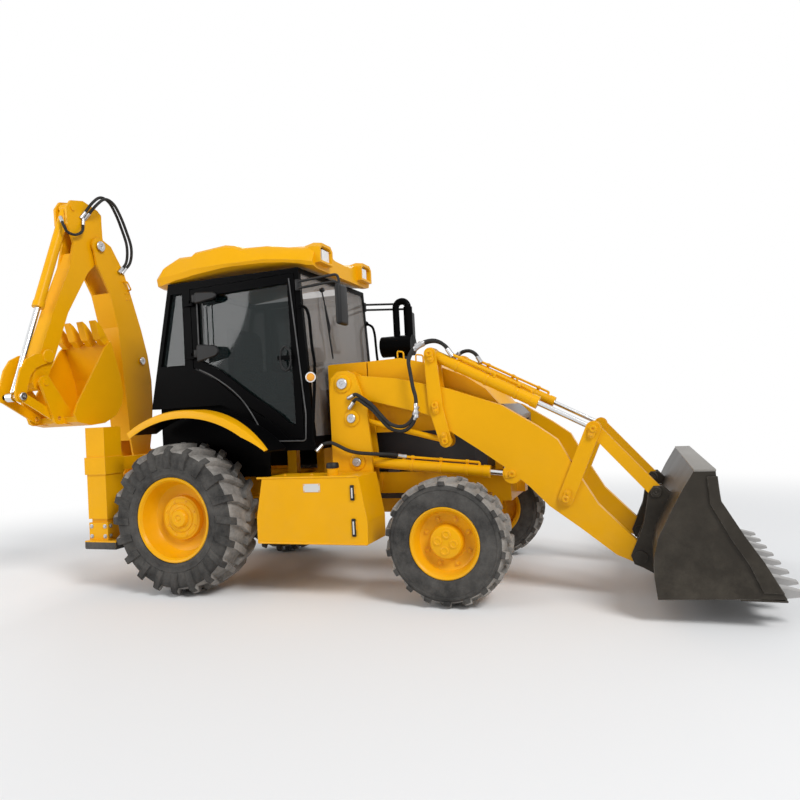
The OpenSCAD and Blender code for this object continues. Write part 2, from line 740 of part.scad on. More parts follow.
boom_line = concat([[330, 960]], [[396, 1320], [430, 1700], [465, 2046], [509, 2481], [600, 2813], [759,
  3073]], arc(qD, 88, -40, 110, 8),
  [[560, 3290], [401, 3070], [290, 2790], [171, 2474], [90, 2210], [48, 1946], [45, 1700], [75, 1400],
    [140, 1120]], arc(qO, 80, 170, 340, 8));
module boom() {
  color(yellow) hoe() difference() {
    union() {
      xz(boom_line, boom_in, boom_out);
      xz(boom_line, -boom_out, -boom_in);
      xz([[396, 1320], [430, 1700], [465, 2046], [509, 2481], [600, 2813], [582, 2822], [490, 2486],
        [446, 2050], [411, 1702], [377, 1322]], -boom_in, boom_in);
      xz([[290, 2790], [171, 2474], [108, 2270], [126, 2266], [189, 2468], [307, 2782]], -boom_in, boom_in);
      rod_y(qD, 34, -boom_out - 14, boom_out + 14);
      rod_y(qS, 26, -boom_out - 10, boom_out + 10);
    }
    rod_y(qO, 32 + play, -boom_out - 30, boom_out + 30);
  }
}
boom_l = norm(qV - qW);
module boom_barrel() {
  color(yellow) hoe() along(qW, qV) difference() {
    barrel(590, hoe_r + 6, 30, 62, 52, 45);
    rod_y([0, 0], 28 + play, -60, 60);
  }
}
module boom_rod() {
  color(steel) hoe() along(qW, qV) ram(30, 66, boom_l, 45, 40);
}

dip_head = [dip(-60, -85), dip(100, -85), dip(300, -20), dip(400, 175), dip(150, 240), dip(30, 380),
  dip(-100, 455), dip(-200, 445), dip(-300, 330), dip(-345, 150), dip(-335, 85), dip(-270, 50), dip(-150,
  -20)];
module dipper() {
  color(yellow) hoe() difference() {
    union() {
      xz([dip(60, -85), dip(100, -85), dip(300, -25), dip(800, 5), dip(1250, -45), dip(1480, -62),
        dip(1553, -66), dip(1610, -40), dip(1622, 20), dip(1590, 60),
        dip(1500, 80), dip(1300, 105), dip(800, 155), dip(400, 178), dip(240, 200)], -dip_h, dip_h);
      xz(dip_head, dip_h - 24, dip_h);
      xz(dip_head, -dip_h, -dip_h + 24);
      rod_y(qD, 85, -dip_h, dip_h);
      rod_y(qY, 26, -dip_h - 10, dip_h + 10);
      rod_y(qL0, 26, -dip_h - 27, dip_h + 27);
    }
    rod_y(qD, 34 + play, -dip_h - 1, dip_h + 1);
    rod_y(qK, 30 + play, -dip_h - 1, dip_h + 1);
  }
}
crowd_l = norm(qX - qS);
module crowd_barrel() {
  color(yellow) hoe() along(qS, qX) difference() {
    barrel(900, hoe_r, 28, 100, 45, 42);
    rod_y([0, 0], 26 + play, -60, 60);
  }
}
module crowd_rod() {
  color(steel) hoe() along(qS, qX) ram(28, 640, crowd_l, 42, 42);
}
tip_l = norm(qL1 - qY);
module tip_barrel() {
  color(yellow) hoe() along(qY, qL1) difference() {
    barrel(1060, hoe_r, 26, 120, 45, 42);
    rod_y([0, 0], 26 + play, -60, 60);
  }
}
module tip_rod() {
  color(steel) hoe() along(qY, qL1) ram(26, 890, tip_l, 42, 36);
}
module tip_levers() {
  color(yellow) hoe() difference() {
    union() {
      for (w = [-dip_h - 25, dip_h + 5]) link(qL0, qL1, 36, w, w + 20);
      rod_y(qL1, 22, dip_h + 5, dip_h + 48);
      rod_y(qL1, 22, -dip_h - 48, -dip_h - 5);
    }
    rod_y(qL0, 26 + play, -dip_h - 60, dip_h + 60);
  }
}
module tip_link() {
  color(yellow) hoe() difference() {
    for (w = [-dip_h - 46, dip_h + 28]) link(qL1, qK1, 38, w, w + 18);
    rod_y(qL1, 22 + play, -dip_h - 60, dip_h + 60);
    rod_y(qK1, 24, -dip_h - 60, dip_h + 60);
  }
}
hoe_out = [[800, 2300], [878, 2230], [1243, 1690], [1282, 1600], [1255, 1528], [1090, 1494], [920, 1510],
  [770, 1580], [685, 1690], [665, 1800], [690, 1950]];
hoe_cut = [[838, 2320], [1300, 1800], [1340, 1640], [1243, 1550], [1090, 1517], [926, 1532], [782, 1599],
  [705, 1700], [688, 1800], [712, 1945], [820, 2290]];
module hoe_bucket() {
  color(yellow) hoe() difference() {
    union() {
      difference() {
        xz(hoe_out, -hoe_h, hoe_h);
        xz(hoe_cut, -hoe_h + 20, hoe_h - 20);
      }
      for (w = [-dip_h - 76, dip_h + 51]) {
        xz(concat([[1180, 1509], [1275, 1520]], arc(qK1, 60, -80, -10, 4), arc(qK, 60, -20, 160, 8),
          [[1245, 1700], [1200, 1660]]), w, w + 25);
      }
      rod_y(qK, 30, -dip_h - 84, dip_h + 84);
      for (i = [-1.5:1:1.5]) {
        w = i * (hoe_w - 90) / 3.2;
        xz([[800, 2300], [850, 2255], [915, 2310], [967, 2470], [960, 2477], [860, 2400]], w - 32, w + 32);
      }
    }
    for (w = [-dip_h - 80, dip_h + 44]) rod_y(qK1, 20, w, w + 40);
  }
}

chassis_frame();
engine_block();
hood();
hood_cowl();
front_grille();
exhaust();
cab_shell();
cab_roof();
cab_glass();
cab_interior();
door_right();
door_glass_right();
door_left();
door_glass_left();
lamps();
mirrors();
fenders();
side_tanks();
rear_axle();
front_axle();
knuckle_right();
knuckle_left();
tyre_rear_right();
tyre_rear_left();
tyre_front_right();
tyre_front_left();
rim_rear_right();
rim_rear_left();
rim_front_right();
rim_front_left();
loader_arms();
arm_tube();
lift_barrels();
lift_rods();
rear_levers();
level_links();
tilt_barrels();
tilt_rods();
lever_pins();
front_levers();
link_pins();
bucket_links();
bucket_pins();
loader_bucket();
rear_frame();
swing_carriage();
stabilizer_right();
stabilizer_left();
kingpost();
boom();
boom_barrel();
boom_rod();
dipper();
crowd_barrel();
crowd_rod();
tip_barrel();
tip_rod();
tip_levers();
tip_link();
hoe_bucket();
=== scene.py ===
# A backhoe loader, parked with its loading bucket on the ground and its digging arm folded across the rear.
# The sections follow the machine as it is put together, from the yard it stands in to its hoses.
import math

import bmesh
import bpy
from mathutils import Matrix, Vector


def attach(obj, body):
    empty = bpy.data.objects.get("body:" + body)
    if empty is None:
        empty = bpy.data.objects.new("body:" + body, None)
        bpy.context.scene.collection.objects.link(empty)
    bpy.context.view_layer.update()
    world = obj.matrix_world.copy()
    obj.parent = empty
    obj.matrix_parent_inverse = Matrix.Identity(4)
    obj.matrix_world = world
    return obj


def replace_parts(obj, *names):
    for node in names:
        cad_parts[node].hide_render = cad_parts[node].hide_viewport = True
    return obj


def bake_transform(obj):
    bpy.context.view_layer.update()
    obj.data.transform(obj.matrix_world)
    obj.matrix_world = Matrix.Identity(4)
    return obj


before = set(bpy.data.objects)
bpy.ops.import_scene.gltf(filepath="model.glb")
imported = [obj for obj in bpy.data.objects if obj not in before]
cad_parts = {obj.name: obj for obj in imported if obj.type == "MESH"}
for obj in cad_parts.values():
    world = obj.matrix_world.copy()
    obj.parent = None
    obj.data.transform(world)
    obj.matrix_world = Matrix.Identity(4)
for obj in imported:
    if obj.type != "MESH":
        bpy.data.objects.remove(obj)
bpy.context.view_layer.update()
scene = bpy.context.scene


# The yard: a pale, level floor that fades to white, lit by a broad sky and three large soft lamps.
# The camera stands at the machine's right front, a little above hub height, as in the photograph.
FLOOR_HALF, FLOOR_LEVEL, FLOOR_TONE = 40.0, -0.002, (0.86, 0.86, 0.86, 1)
FLOOR_MIDDLE, FLOOR_FADE = (1.6, 0, 0), (4.2, 9.5)
SKY, SKY_STRENGTH = (0.93, 0.96, 1.0, 1), 0.46
LAMPS = (  # name, place, aim, width, power
    ("key", (14.6, -10.3, 15.0), (1.2, 0, 1.2), 7.2, 2850),
    ("fill", (-6.5, -7.5, 4.5), (0.5, 0, 1.2), 5.0, 300),
    ("back", (-3.0, 8.0, 7.0), (1.6, 0, 1.2), 5.0, 240),
)
CAMERA_AT = Vector((3.765, -5.769, 1.461))
CAMERA_YAW, CAMERA_PITCH, CAMERA_ROLL = (math.radians(a) for a in (19.49, 1.08, -2.99))
CAMERA_LENS, CAMERA_SENSOR, CAMERA_SIGHT = 30.12, 36.0, 200.0


def shader(name):
    """A new material, its node tree and its main shader."""
    finish = bpy.data.materials.new(name)
    finish.use_nodes = True
    tree = finish.node_tree
    return finish, tree, tree.nodes["Principled BSDF"]


def node(tree, kind, links=None, **values):
    """A shader node with its settings, its sockets' values and its incoming links."""
    made = tree.nodes.new("ShaderNode" + kind)
    for key, value in values.items():
        if key in made.inputs:
            made.inputs[key].default_value = value
        else:
            setattr(made, key, value)
    for socket, source in (links or {}).items():
        tree.links.new(source, made.inputs[socket])
    return made


def ranged(tree, source, start, end=(0, 1), **settings):
    """A value carried from one range to another."""
    made = node(tree, "MapRange", {"Value": source}, **settings)
    made.inputs["From Min"].default_value, made.inputs["From Max"].default_value = start
    made.inputs["To Min"].default_value, made.inputs["To Max"].default_value = end
    return made.outputs["Result"]


def seen(tree):
    """1 where the camera, a reflection or clear glass looks, 0 for rays that only light the machine."""
    ray = node(tree, "LightPath")
    share = ray.outputs["Is Camera Ray"]
    for kind in ("Is Glossy Ray", "Is Transmission Ray"):
        share = node(tree, "Math", {0: share, 1: ray.outputs[kind]}, operation="MAXIMUM").outputs[0]
    return share


def lay_floor():
    mesh = bpy.data.meshes.new("floor")
    corners = ((-1, -1), (1, -1), (1, 1), (-1, 1))
    mesh.from_pydata([(x * FLOOR_HALF, y * FLOOR_HALF, FLOOR_LEVEL) for x, y in corners], [], [(0, 1, 2, 3)])
    floor = bpy.data.objects.new("floor", mesh)
    scene.collection.objects.link(floor)
    finish, tree, main = shader("pale_floor")
    main.inputs["Base Color"].default_value = FLOOR_TONE
    main.inputs["Roughness"].default_value = 0.9
    place = node(tree, "NewGeometry").outputs["Position"]
    reach = node(tree, "VectorMath", {0: place}, operation="DISTANCE")
    reach.inputs[1].default_value = FLOOR_MIDDLE
    fade = ranged(tree, reach.outputs["Value"], FLOOR_FADE, interpolation_type="SMOOTHSTEP")
    share = node(tree, "Math", {0: fade, 1: seen(tree)}, operation="MULTIPLY")
    glow = node(tree, "Emission", Strength=1.0)
    mix = node(tree, "MixShader", {0: share.outputs[0], 1: main.outputs[0], 2: glow.outputs[0]})
    tree.links.new(mix.outputs[0], tree.nodes["Material Output"].inputs["Surface"])
    mesh.materials.append(finish)


def light_yard():
    world = bpy.data.worlds.new("sky")
    scene.world = world
    world.use_nodes = True
    tree = world.node_tree
    tree.nodes.clear()
    soft = node(tree, "Background", Color=SKY, Strength=SKY_STRENGTH)
    white = node(tree, "Background", Color=(1, 1, 1, 1), Strength=1.0)
    mix = node(tree, "MixShader", {0: seen(tree), 1: soft.outputs[0], 2: white.outputs[0]})
    node(tree, "OutputWorld", {"Surface": mix.outputs[0]})
    for name, at, aim, width, power in LAMPS:
        lamp = bpy.data.lights.new(name, "AREA")
        lamp.shape, lamp.size, lamp.energy = "DISK", width, power
        stand = bpy.data.objects.new(name, lamp)
        stand.location = at
        stand.rotation_euler = (Vector(aim) - Vector(at)).to_track_quat("-Z", "Y").to_euler()
        scene.collection.objects.link(stand)


def set_camera():
    ahead = Vector((
        -math.sin(CAMERA_YAW) * math.cos(CAMERA_PITCH),
        math.cos(CAMERA_YAW) * math.cos(CAMERA_PITCH),
        math.sin(CAMERA_PITCH),
    ))
    level = Vector((math.cos(CAMERA_YAW), math.sin(CAMERA_YAW), 0))
    right = math.cos(CAMERA_ROLL) * level + math.sin(CAMERA_ROLL) * level.cross(ahead)
    up = right.cross(ahead)
    lens = bpy.data.cameras.new("camera")
    lens.lens, lens.sensor_width, lens.sensor_fit = CAMERA_LENS, CAMERA_SENSOR, "HORIZONTAL"
    lens.clip_end = CAMERA_SIGHT
    camera = bpy.data.objects.new("camera", lens)
    turn = Matrix((right, up, -ahead)).transposed().to_4x4()
    camera.matrix_world = Matrix.Translation(CAMERA_AT) @ turn
    scene.collection.objects.link(camera)
    scene.camera = camera


lay_floor()
light_yard()
set_camera()
scene.view_settings.view_transform = "Standard"


# The frame, axles and engine: welded and cast steel under sprayed golden enamel with a fine orange peel.
# Dust lies on the paint low down, its edges are rubbed to a paler tone; the engine is a dark casting.
YELLOW = (0.83, 0.400, 0.001)
CAST = (0.035, 0.035, 0.038)
DUST = (0.42, 0.36, 0.28)


def toned(tree, share, first, second):
    """A mix of two tones, each a plain colour or what another node gives."""
    made = node(tree, "Mix", {"Factor": share}, data_type="RGBA")
    for socket, tone in ((6, first), (7, second)):
        if isinstance(tone, tuple):
            made.inputs[socket].default_value = (*tone, 1)
        else:
            tree.links.new(tone, made.inputs[socket])
    return made.outputs[2]


def product(tree, first, second, amount):
    """Two values and a plain amount, multiplied."""
    both = node(tree, "Math", {0: first, 1: second}, operation="MULTIPLY")
    made = node(tree, "Math", {0: both.outputs[0]}, operation="MULTIPLY")
    made.inputs[1].default_value = amount
    return made.outputs[0]


def coated(name, colour, rough, peel=0.04, gloss=0.25, sheen=0.5, dust=0.35, dust_top=1.3, edge=0.25,
           worn=None):
    """Sprayed paint with tone drift, orange peel, rubbed edges and dust that thins out upwards."""
    finish, tree, main = shader(name)
    place = node(tree, "TexCoord").outputs["Object"]
    drift = node(tree, "TexNoise", {"Vector": place}, Scale=2.2, Detail=5.0, Roughness=0.6).outputs["Fac"]
    tone = toned(tree, drift, tuple(c * 0.88 for c in colour), tuple(min(1.0, c * 1.06) for c in colour))
    rounded = node(tree, "Bevel", samples=4, Radius=0.006).outputs["Normal"]
    flat = node(tree, "NewGeometry").outputs["Normal"]
    bend = node(tree, "VectorMath", {0: rounded, 1: flat}, operation="DOT_PRODUCT").outputs["Value"]
    chips = node(tree, "TexNoise", {"Vector": place}, Scale=26.0, Detail=6.0).outputs["Fac"]
    rubbed = product(tree, ranged(tree, bend, (0.985, 0.90)), ranged(tree, chips, (0.42, 0.62)), edge)
    edged = toned(tree, rubbed, tone, worn or tuple(0.5 * c + 0.4 for c in colour))
    height = node(tree, "SeparateXYZ", {0: place}).outputs["Z"]
    patch = node(tree, "TexNoise", {"Vector": place}, Scale=5.0, Detail=8.0, Roughness=0.7).outputs["Fac"]
    film = product(tree, ranged(tree, height, (dust_top, 0.1)), ranged(tree, patch, (0.42, 0.8)), dust)
    tree.links.new(toned(tree, film, edged, DUST), main.inputs["Base Color"])
    tree.links.new(ranged(tree, drift, (0, 1), (rough - 0.06, rough + 0.10)), main.inputs["Roughness"])
    grain = node(tree, "TexNoise", {"Vector": place}, Scale=160.0, Detail=2.0).outputs["Fac"]
    bump = node(tree, "Bump", {"Height": grain}, Strength=peel, Distance=0.002)
    tree.links.new(bump.outputs["Normal"], main.inputs["Normal"])
    main.inputs["Specular IOR Level"].default_value = sheen
    main.inputs["Coat Weight"].default_value = gloss
    main.inputs["Coat Roughness"].default_value = 0.12
    return finish


def dress(finish, *names):
    """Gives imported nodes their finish."""
    for name in names:
        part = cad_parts[name]
        if not part.material_slots:
            part.data.materials.append(finish)
        for place in part.material_slots:
            place.material = finish


yellow_paint = coated("yellow_paint", YELLOW, 0.36, gloss=0.03, dust=0.09, edge=0.18, sheen=0.14)
dark_cast = coated("dark_cast", CAST, 0.55, peel=0.3, gloss=0.0)
dress(yellow_paint, "chassis_frame", "rear_axle", "front_axle", "knuckle_right", "knuckle_left")
dress(dark_cast, "engine_block")


# The wheels: deep-dished pressed rims, painted like the body, bolted to hubs with planet covers.
# The black tyres carry tall lugs in two staggered rows; the rubber is matt and greyed by dry dust, and the
# tread is painted paler still, partly for dust and partly as painted light.
TURN = 2 * math.pi
NARROWEST = 0.0004  # a turned profile that meets its axis stops just short of it
RUBBER, RUBBER_DUST = (0.017, 0.0165, 0.016), (0.105, 0.099, 0.091)
# The tread's tones are paler than the sidewall's: partly dust, partly painted light.
TREAD_TONE_AND_LIGHT, TREAD_DUST_AND_LIGHT = (0.095, 0.090, 0.084), (0.345, 0.323, 0.296)
LUG_ROOT = 0.012
WHEEL_BOLTS, PLUGS, PLUG_RING, PLUG_OUT = 8, 4, 0.062, 0.100
REAR_HUB, FRONT_HUB = (0.0, 0.875, 0.650), (2.370, 0.885, 0.4815)
REAR_HALF = [  # radius, and how far out from the tyre's middle
    (0.342, 0.174), (0.365, 0.180), (0.368, 0.197), (0.392, 0.208), (0.398, 0.206), (0.436, 0.213),
    (0.442, 0.209), (0.50, 0.214), (0.545, 0.208), (0.572, 0.192), (0.588, 0.165), (0.597, 0.12),
    (0.602, 0.06), (0.603, 0.0),
]
REAR_LUG = [  # radius, out, lead round the wheel, height
    (0.446, 0.209, -0.014, 0.006), (0.475, 0.212, -0.012, 0.013), (0.51, 0.2135, -0.010, 0.016),
    (0.545, 0.208, -0.007, 0.024), (0.572, 0.192, -0.003, 0.040), (0.588, 0.165, 0.006, 0.045),
    (0.597, 0.125, 0.026, 0.046), (0.601, 0.08, 0.050, 0.046), (0.603, 0.035, 0.078, 0.046),
    (0.603, -0.010, 0.102, 0.046),
]
FRONT_HALF = [
    (0.249, 0.122), (0.272, 0.129), (0.275, 0.144), (0.31, 0.154), (0.36, 0.156), (0.394, 0.150),
    (0.398, 0.155), (0.412, 0.153), (0.416, 0.146), (0.430, 0.140), (0.441, 0.120), (0.4465, 0.085),
    (0.448, 0.04), (0.448, 0.0),
]
FRONT_LUG = [
    (0.424, 0.142, 0.0, 0.014), (0.436, 0.132, 0.0, 0.027), (0.4435, 0.108, 0.002, 0.032),
    (0.4465, 0.082, 0.004, 0.033), (0.447, 0.066, 0.022, 0.033), (0.448, 0.046, 0.050, 0.033),
    (0.448, 0.018, 0.062, 0.033), (0.448, -0.004, 0.066, 0.033),
]
REAR_RIM = [  # radius, out; from the hub's back round the rim to the hub's cover
    (0.0, -0.03), (0.15, -0.03), (0.19, -0.01), (0.27, 0.0), (0.298, 0.012), (0.312, -0.06), (0.320, -0.168),
    (0.338, -0.190), (0.356, -0.196), (0.363, -0.190), (0.362, -0.181), (0.342, -0.176), (0.342, 0.176),
    (0.362, 0.181), (0.363, 0.190), (0.356, 0.196), (0.340, 0.190), (0.326, 0.172), (0.320, 0.120),
    (0.306, 0.060), (0.286, 0.034), (0.25, 0.022), (0.214, 0.020), (0.194, 0.024), (0.191, 0.060),
    (0.186, 0.070), (0.172, 0.074), (0.166, 0.079), (0.136, 0.081), (0.131, 0.075), (0.121, 0.075),
    (0.116, 0.084), (0.094, 0.088), (0.088, 0.084), (0.080, 0.086), (0.073, 0.110), (0.066, 0.117),
    (0.032, 0.119), (0.028, 0.113), (0.018, 0.113), (0.012, 0.119), (0.0, 0.119),
]
FRONT_RIM = [
    (0.0, -0.03), (0.10, -0.03), (0.13, -0.01), (0.19, 0.0), (0.214, 0.012), (0.224, -0.05), (0.228, -0.112),
    (0.246, -0.134), (0.262, -0.143), (0.270, -0.138), (0.269, -0.130), (0.249, -0.125), (0.249, 0.125),
    (0.269, 0.130), (0.270, 0.138), (0.262, 0.143), (0.250, 0.136), (0.238, 0.118), (0.230, 0.075),
    (0.218, 0.040), (0.200, 0.030), (0.145, 0.028), (0.134, 0.034), (0.130, 0.060), (0.124, 0.088),
    (0.116, 0.098), (0.104, 0.102), (0.0, 0.102),
]
PLANET_PLUG = [(0.034, 0.0), (0.034, 0.006), (0.030, 0.009), (0.022, 0.009), (0.019, 0.005), (0.0, 0.005)]


def rubber(name, colour, dusty, spread=(0.34, 0.70), grain=90.0):
    """Matt rubber with dust in patches and a fine grain."""
    finish, tree, main = shader(name)
    place = node(tree, "TexCoord").outputs["Object"]
    cloud = node(tree, "TexNoise", {"Vector": place}, Scale=4.5, Detail=9.0, Roughness=0.74).outputs["Fac"]
    tree.links.new(toned(tree, ranged(tree, cloud, spread), colour, dusty), main.inputs["Base Color"])
    tree.links.new(ranged(tree, cloud, (0, 1), (0.58, 0.92)), main.inputs["Roughness"])
    fine = node(tree, "TexNoise", {"Vector": place}, Scale=grain, Detail=5.0).outputs["Fac"]
    bump = node(tree, "Bump", {"Height": fine}, Strength=0.25, Distance=0.004)
    tree.links.new(bump.outputs["Normal"], main.inputs["Normal"])
    main.inputs["Specular IOR Level"].default_value = 0.2
    return finish


def skin(mesh, rows, loop=True, cap=True):
    """Faces between rows of points; each row closes on itself, and the end rows are capped."""
    made = [[mesh.verts.new(p) for p in row] for row in rows]
    count = len(made[0])
    for a, b in zip(made, made[1:]):
        for i in range(count if loop else count - 1):
            j = (i + 1) % count
            mesh.faces.new((a[i], a[j], b[j], b[i]))
    if cap:
        mesh.faces.new(list(reversed(made[0])))
        mesh.faces.new(made[-1])


def turned(mesh, profile, at, toward, steps):
    """A turned solid: (radius, height) pairs round an axis that starts at a point."""
    at, axis = Vector(at), Vector(toward).normalized()
    side = axis.orthogonal().normalized()
    up = axis.cross(side)
    spokes = [side * math.cos(TURN * i / steps) + up * math.sin(TURN * i / steps) for i in range(steps)]
    skin(mesh, [[at + axis * h + s * max(r, NARROWEST) for s in spokes] for r, h in profile])


def bolt(mesh, at, toward, size):
    """A washer and a chamfered hexagon head."""
    washer = ((1.5, -0.1), (1.5, 0.3), (1.2, 0.35))
    head = ((1, 0.2), (1, 0.85), (0.85, 1), (0.3, 1))
    for profile, sides in ((washer, 16), (head, 6)):
        turned(mesh, [(r * size, h * size) for r, h in profile], at, toward, sides)


def keep(mesh, name, body, finish, crease=38.0):
    """Turns built faces into a piece that rides on a body and takes a finish."""
    bmesh.ops.remove_doubles(mesh, verts=mesh.verts, dist=1e-6)
    bmesh.ops.recalc_face_normals(mesh, faces=mesh.faces)
    data = bpy.data.meshes.new(name)
    mesh.to_mesh(data)
    mesh.free()
    data.shade_smooth()
    data.set_sharp_from_angle(angle=math.radians(crease))
    data.materials.append(finish)
    piece = bpy.data.objects.new(name, data)
    scene.collection.objects.link(piece)
    if body:
        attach(piece, body)
    return piece


def wheel_point(hub, radius, out, angle):
    return Vector((hub[0] + radius * math.sin(angle), hub[1] + out, hub[2] + radius * math.cos(angle)))


def lugged_tyre(name, hub, half, lug, body, widths, count, tread):
    """A carcass turned from its half section, with lugs from sidewall to middle; the tread is paler, partly
    dust and partly painted light.
    """
    mesh = bmesh.new()
    section = [(r, -y) for r, y in half] + [(r, y) for r, y in reversed(half)]
    steps = 120
    turns = [TURN * i / steps for i in range(steps + 1)]
    skin(mesh, [[wheel_point(hub, r, y, angle) for r, y in section] for angle in turns], cap=False)
    for k in range(2 * count):
        side = 1 if k % 2 else -1
        start = TURN * k / (2 * count)
        rows = []
        for i, (r, y, lead, high) in enumerate(lug):
            before, after = lug[max(i - 1, 0)], lug[min(i + 1, len(lug) - 1)]
            run = Vector((after[0] - before[0], after[1] - before[1])).normalized()
            out = Vector((-run.y, run.x)) * (1 if run.x > 0 or run.y < 0 else -1)
            wide = widths[0] + (widths[1] - widths[0]) * (i / (len(lug) - 1))
            brow = high - min(0.006, 0.4 * high)
            row = []
            for across, rise in (
                (-0.5, -LUG_ROOT), (-0.44, brow), (-0.38, high), (0.38, high), (0.44, brow), (0.5, -LUG_ROOT),
            ):
                angle = start + (lead + across * wide) / r
                row.append(wheel_point(hub, r + out.x * rise, side * (y + out.y * rise), angle))
            rows.append(row)
        skin(mesh, rows)
    # The tread's faces take the paler material, which is partly dust and partly painted light.
    for face in mesh.faces:
        face.material_index = int(abs(face.calc_center_median().y - hub[1]) < tread)
    tyre = keep(mesh, name, body, tyre_rubber, 30.0)
    tyre.data.materials.append(tread_dust_and_painted_light)
    return tyre


def pressed_rim(name, hub, side, profile, body, ring, size):
    """A rim turned from its section, with its ring of wheel bolts."""
    mesh = bmesh.new()
    steps = 96
    turns = [TURN * i / steps for i in range(steps)]
    skin(mesh, [[wheel_point(hub, max(r, NARROWEST), side * y, a) for a in turns] for r, y in profile])
    radius, face = ring
    for i in range(WHEEL_BOLTS):
        at = wheel_point(hub, radius, side * face, TURN * (i + 0.5) / WHEEL_BOLTS)
        bolt(mesh, at, (0, side, 0), size)
    return keep(mesh, name, body, yellow_paint, 30.0)


tyre_rubber = rubber("tyre_rubber", RUBBER, RUBBER_DUST)
tread_dust_and_painted_light = rubber("tread_dust_and_painted_light", TREAD_TONE_AND_LIGHT, TREAD_DUST_AND_LIGHT, (0.30, 0.62))
for way, side in (("right", -1), ("left", 1)):
    hub, body = (REAR_HUB[0], side * REAR_HUB[1], REAR_HUB[2]), f"wheel_rear_{way}"
    tyre = lugged_tyre(
        f"rear_tyre_{way}", hub, REAR_HALF, REAR_LUG, body, widths=(0.070, 0.060), count=20, tread=0.187
    )
    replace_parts(tyre, f"tyre_rear_{way}")
    rim = pressed_rim(f"rear_rim_{way}", hub, side, REAR_RIM, body, ring=(0.150, 0.079), size=0.008)
    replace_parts(rim, f"rim_rear_{way}")
    hub, body = (FRONT_HUB[0], side * FRONT_HUB[1], FRONT_HUB[2]), f"wheel_front_{way}"
    tyre = lugged_tyre(
        f"front_tyre_{way}", hub, FRONT_HALF, FRONT_LUG, body, widths=(0.058, 0.050), count=18, tread=0.131
    )
    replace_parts(tyre, f"tyre_front_{way}")
    rim = pressed_rim(f"front_rim_{way}", hub, side, FRONT_RIM, body, ring=(0.176, 0.030), size=0.014)
    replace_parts(rim, f"rim_front_{way}")
    mesh = bmesh.new()
    for i in range(PLUGS):
        at = wheel_point(hub, PLUG_RING, side * PLUG_OUT, TURN * (i + 0.1) / PLUGS)
        turned(mesh, PLANET_PLUG, at, (0, side, 0), 24)
    keep(mesh, f"planet_plugs_{way}", body, yellow_paint)


# The engine's housing: a pressed hood on rear hinges behind a moulded grille, with a cowl ahead of the cab.
# Grab loops of bent bar are bolted along its edges; the exhaust is a muffler with a bent tail, painted black.
GREY = (0.085, 0.088, 0.092)
BLACK, BLACK_WORN = (0.0025, 0.0025, 0.0027), (0.08, 0.08, 0.08)
GRAB_OUT = 0.40
GRAB_LOOPS = ((1.863, 1.918, 1.93, 1.985), (2.026, 2.090, 1.89, 1.945))  # back, front, foot, top


def tube(mesh, path, radius, sides=12):
    """A round bar, pipe or hose along a line, with closed ends."""
    path = [Vector(p) for p in path]
    run = (path[1] - path[0]).normalized()
    side = run.orthogonal().normalized()
    turns = [TURN * k / sides for k in range(sides)]
    rows = []
    for i, at in enumerate(path):
        ahead = (path[min(i + 1, len(path) - 1)] - path[max(i - 1, 0)]).normalized()
        side = (side - ahead * side.dot(ahead)).normalized()
        up = ahead.cross(side)
        rows.append([at + radius * (side * math.cos(angle) + up * math.sin(angle)) for angle in turns])
    skin(mesh, rows)


def rounded_path(points, radius, steps=5):
    """Straight runs joined by bends of a set radius, as a bar or pipe is bent."""
    points = [Vector(p) for p in points]
    line = [points[0]]
    for a, b, c in zip(points, points[1:], points[2:]):
        back, on = (a - b).normalized(), (c - b).normalized()
        cut = min(radius, 0.45 * (a - b).length, 0.45 * (c - b).length)
        for i in range(steps + 1):
            t = i / steps
            line.append((b + back * cut) * (1 - t) ** 2 + b * 2 * t * (1 - t) + (b + on * cut) * t * t)
    return line + [points[-1]]


grey_paint = coated("grey_paint", GREY, 0.42, edge=0.2)
black_paint = coated("black_paint", BLACK, 0.30, gloss=0.0, dust=0.10, edge=0.10, worn=BLACK_WORN, sheen=0.02)
dress(yellow_paint, "hood", "hood_cowl")
dress(grey_paint, "front_grille")
dress(black_paint, "exhaust")
mesh = bmesh.new()
for side in (-1, 1):
    y = side * GRAB_OUT
    for back, front, foot, top in GRAB_LOOPS:
        bar = [(back, y, foot), (back, y, top), (front, y, top - 0.012), (front, y, foot - 0.02)]
        tube(mesh, rounded_path(bar, 0.018), 0.007)
keep(mesh, "grab_loops", "hood", yellow_paint)


# The cab: a black welded frame with green-tinted panes on rubber seals, under a yellow moulded roof; the
# windscreen's pale grey-brown is a painted reflection.
# Doors hang on cast hinges under moulded covers; rails, mirror arms and the wiper are bent black bar.
GLASS, GLASS_CLEAR = (0.004, 0.010, 0.010), 0.30
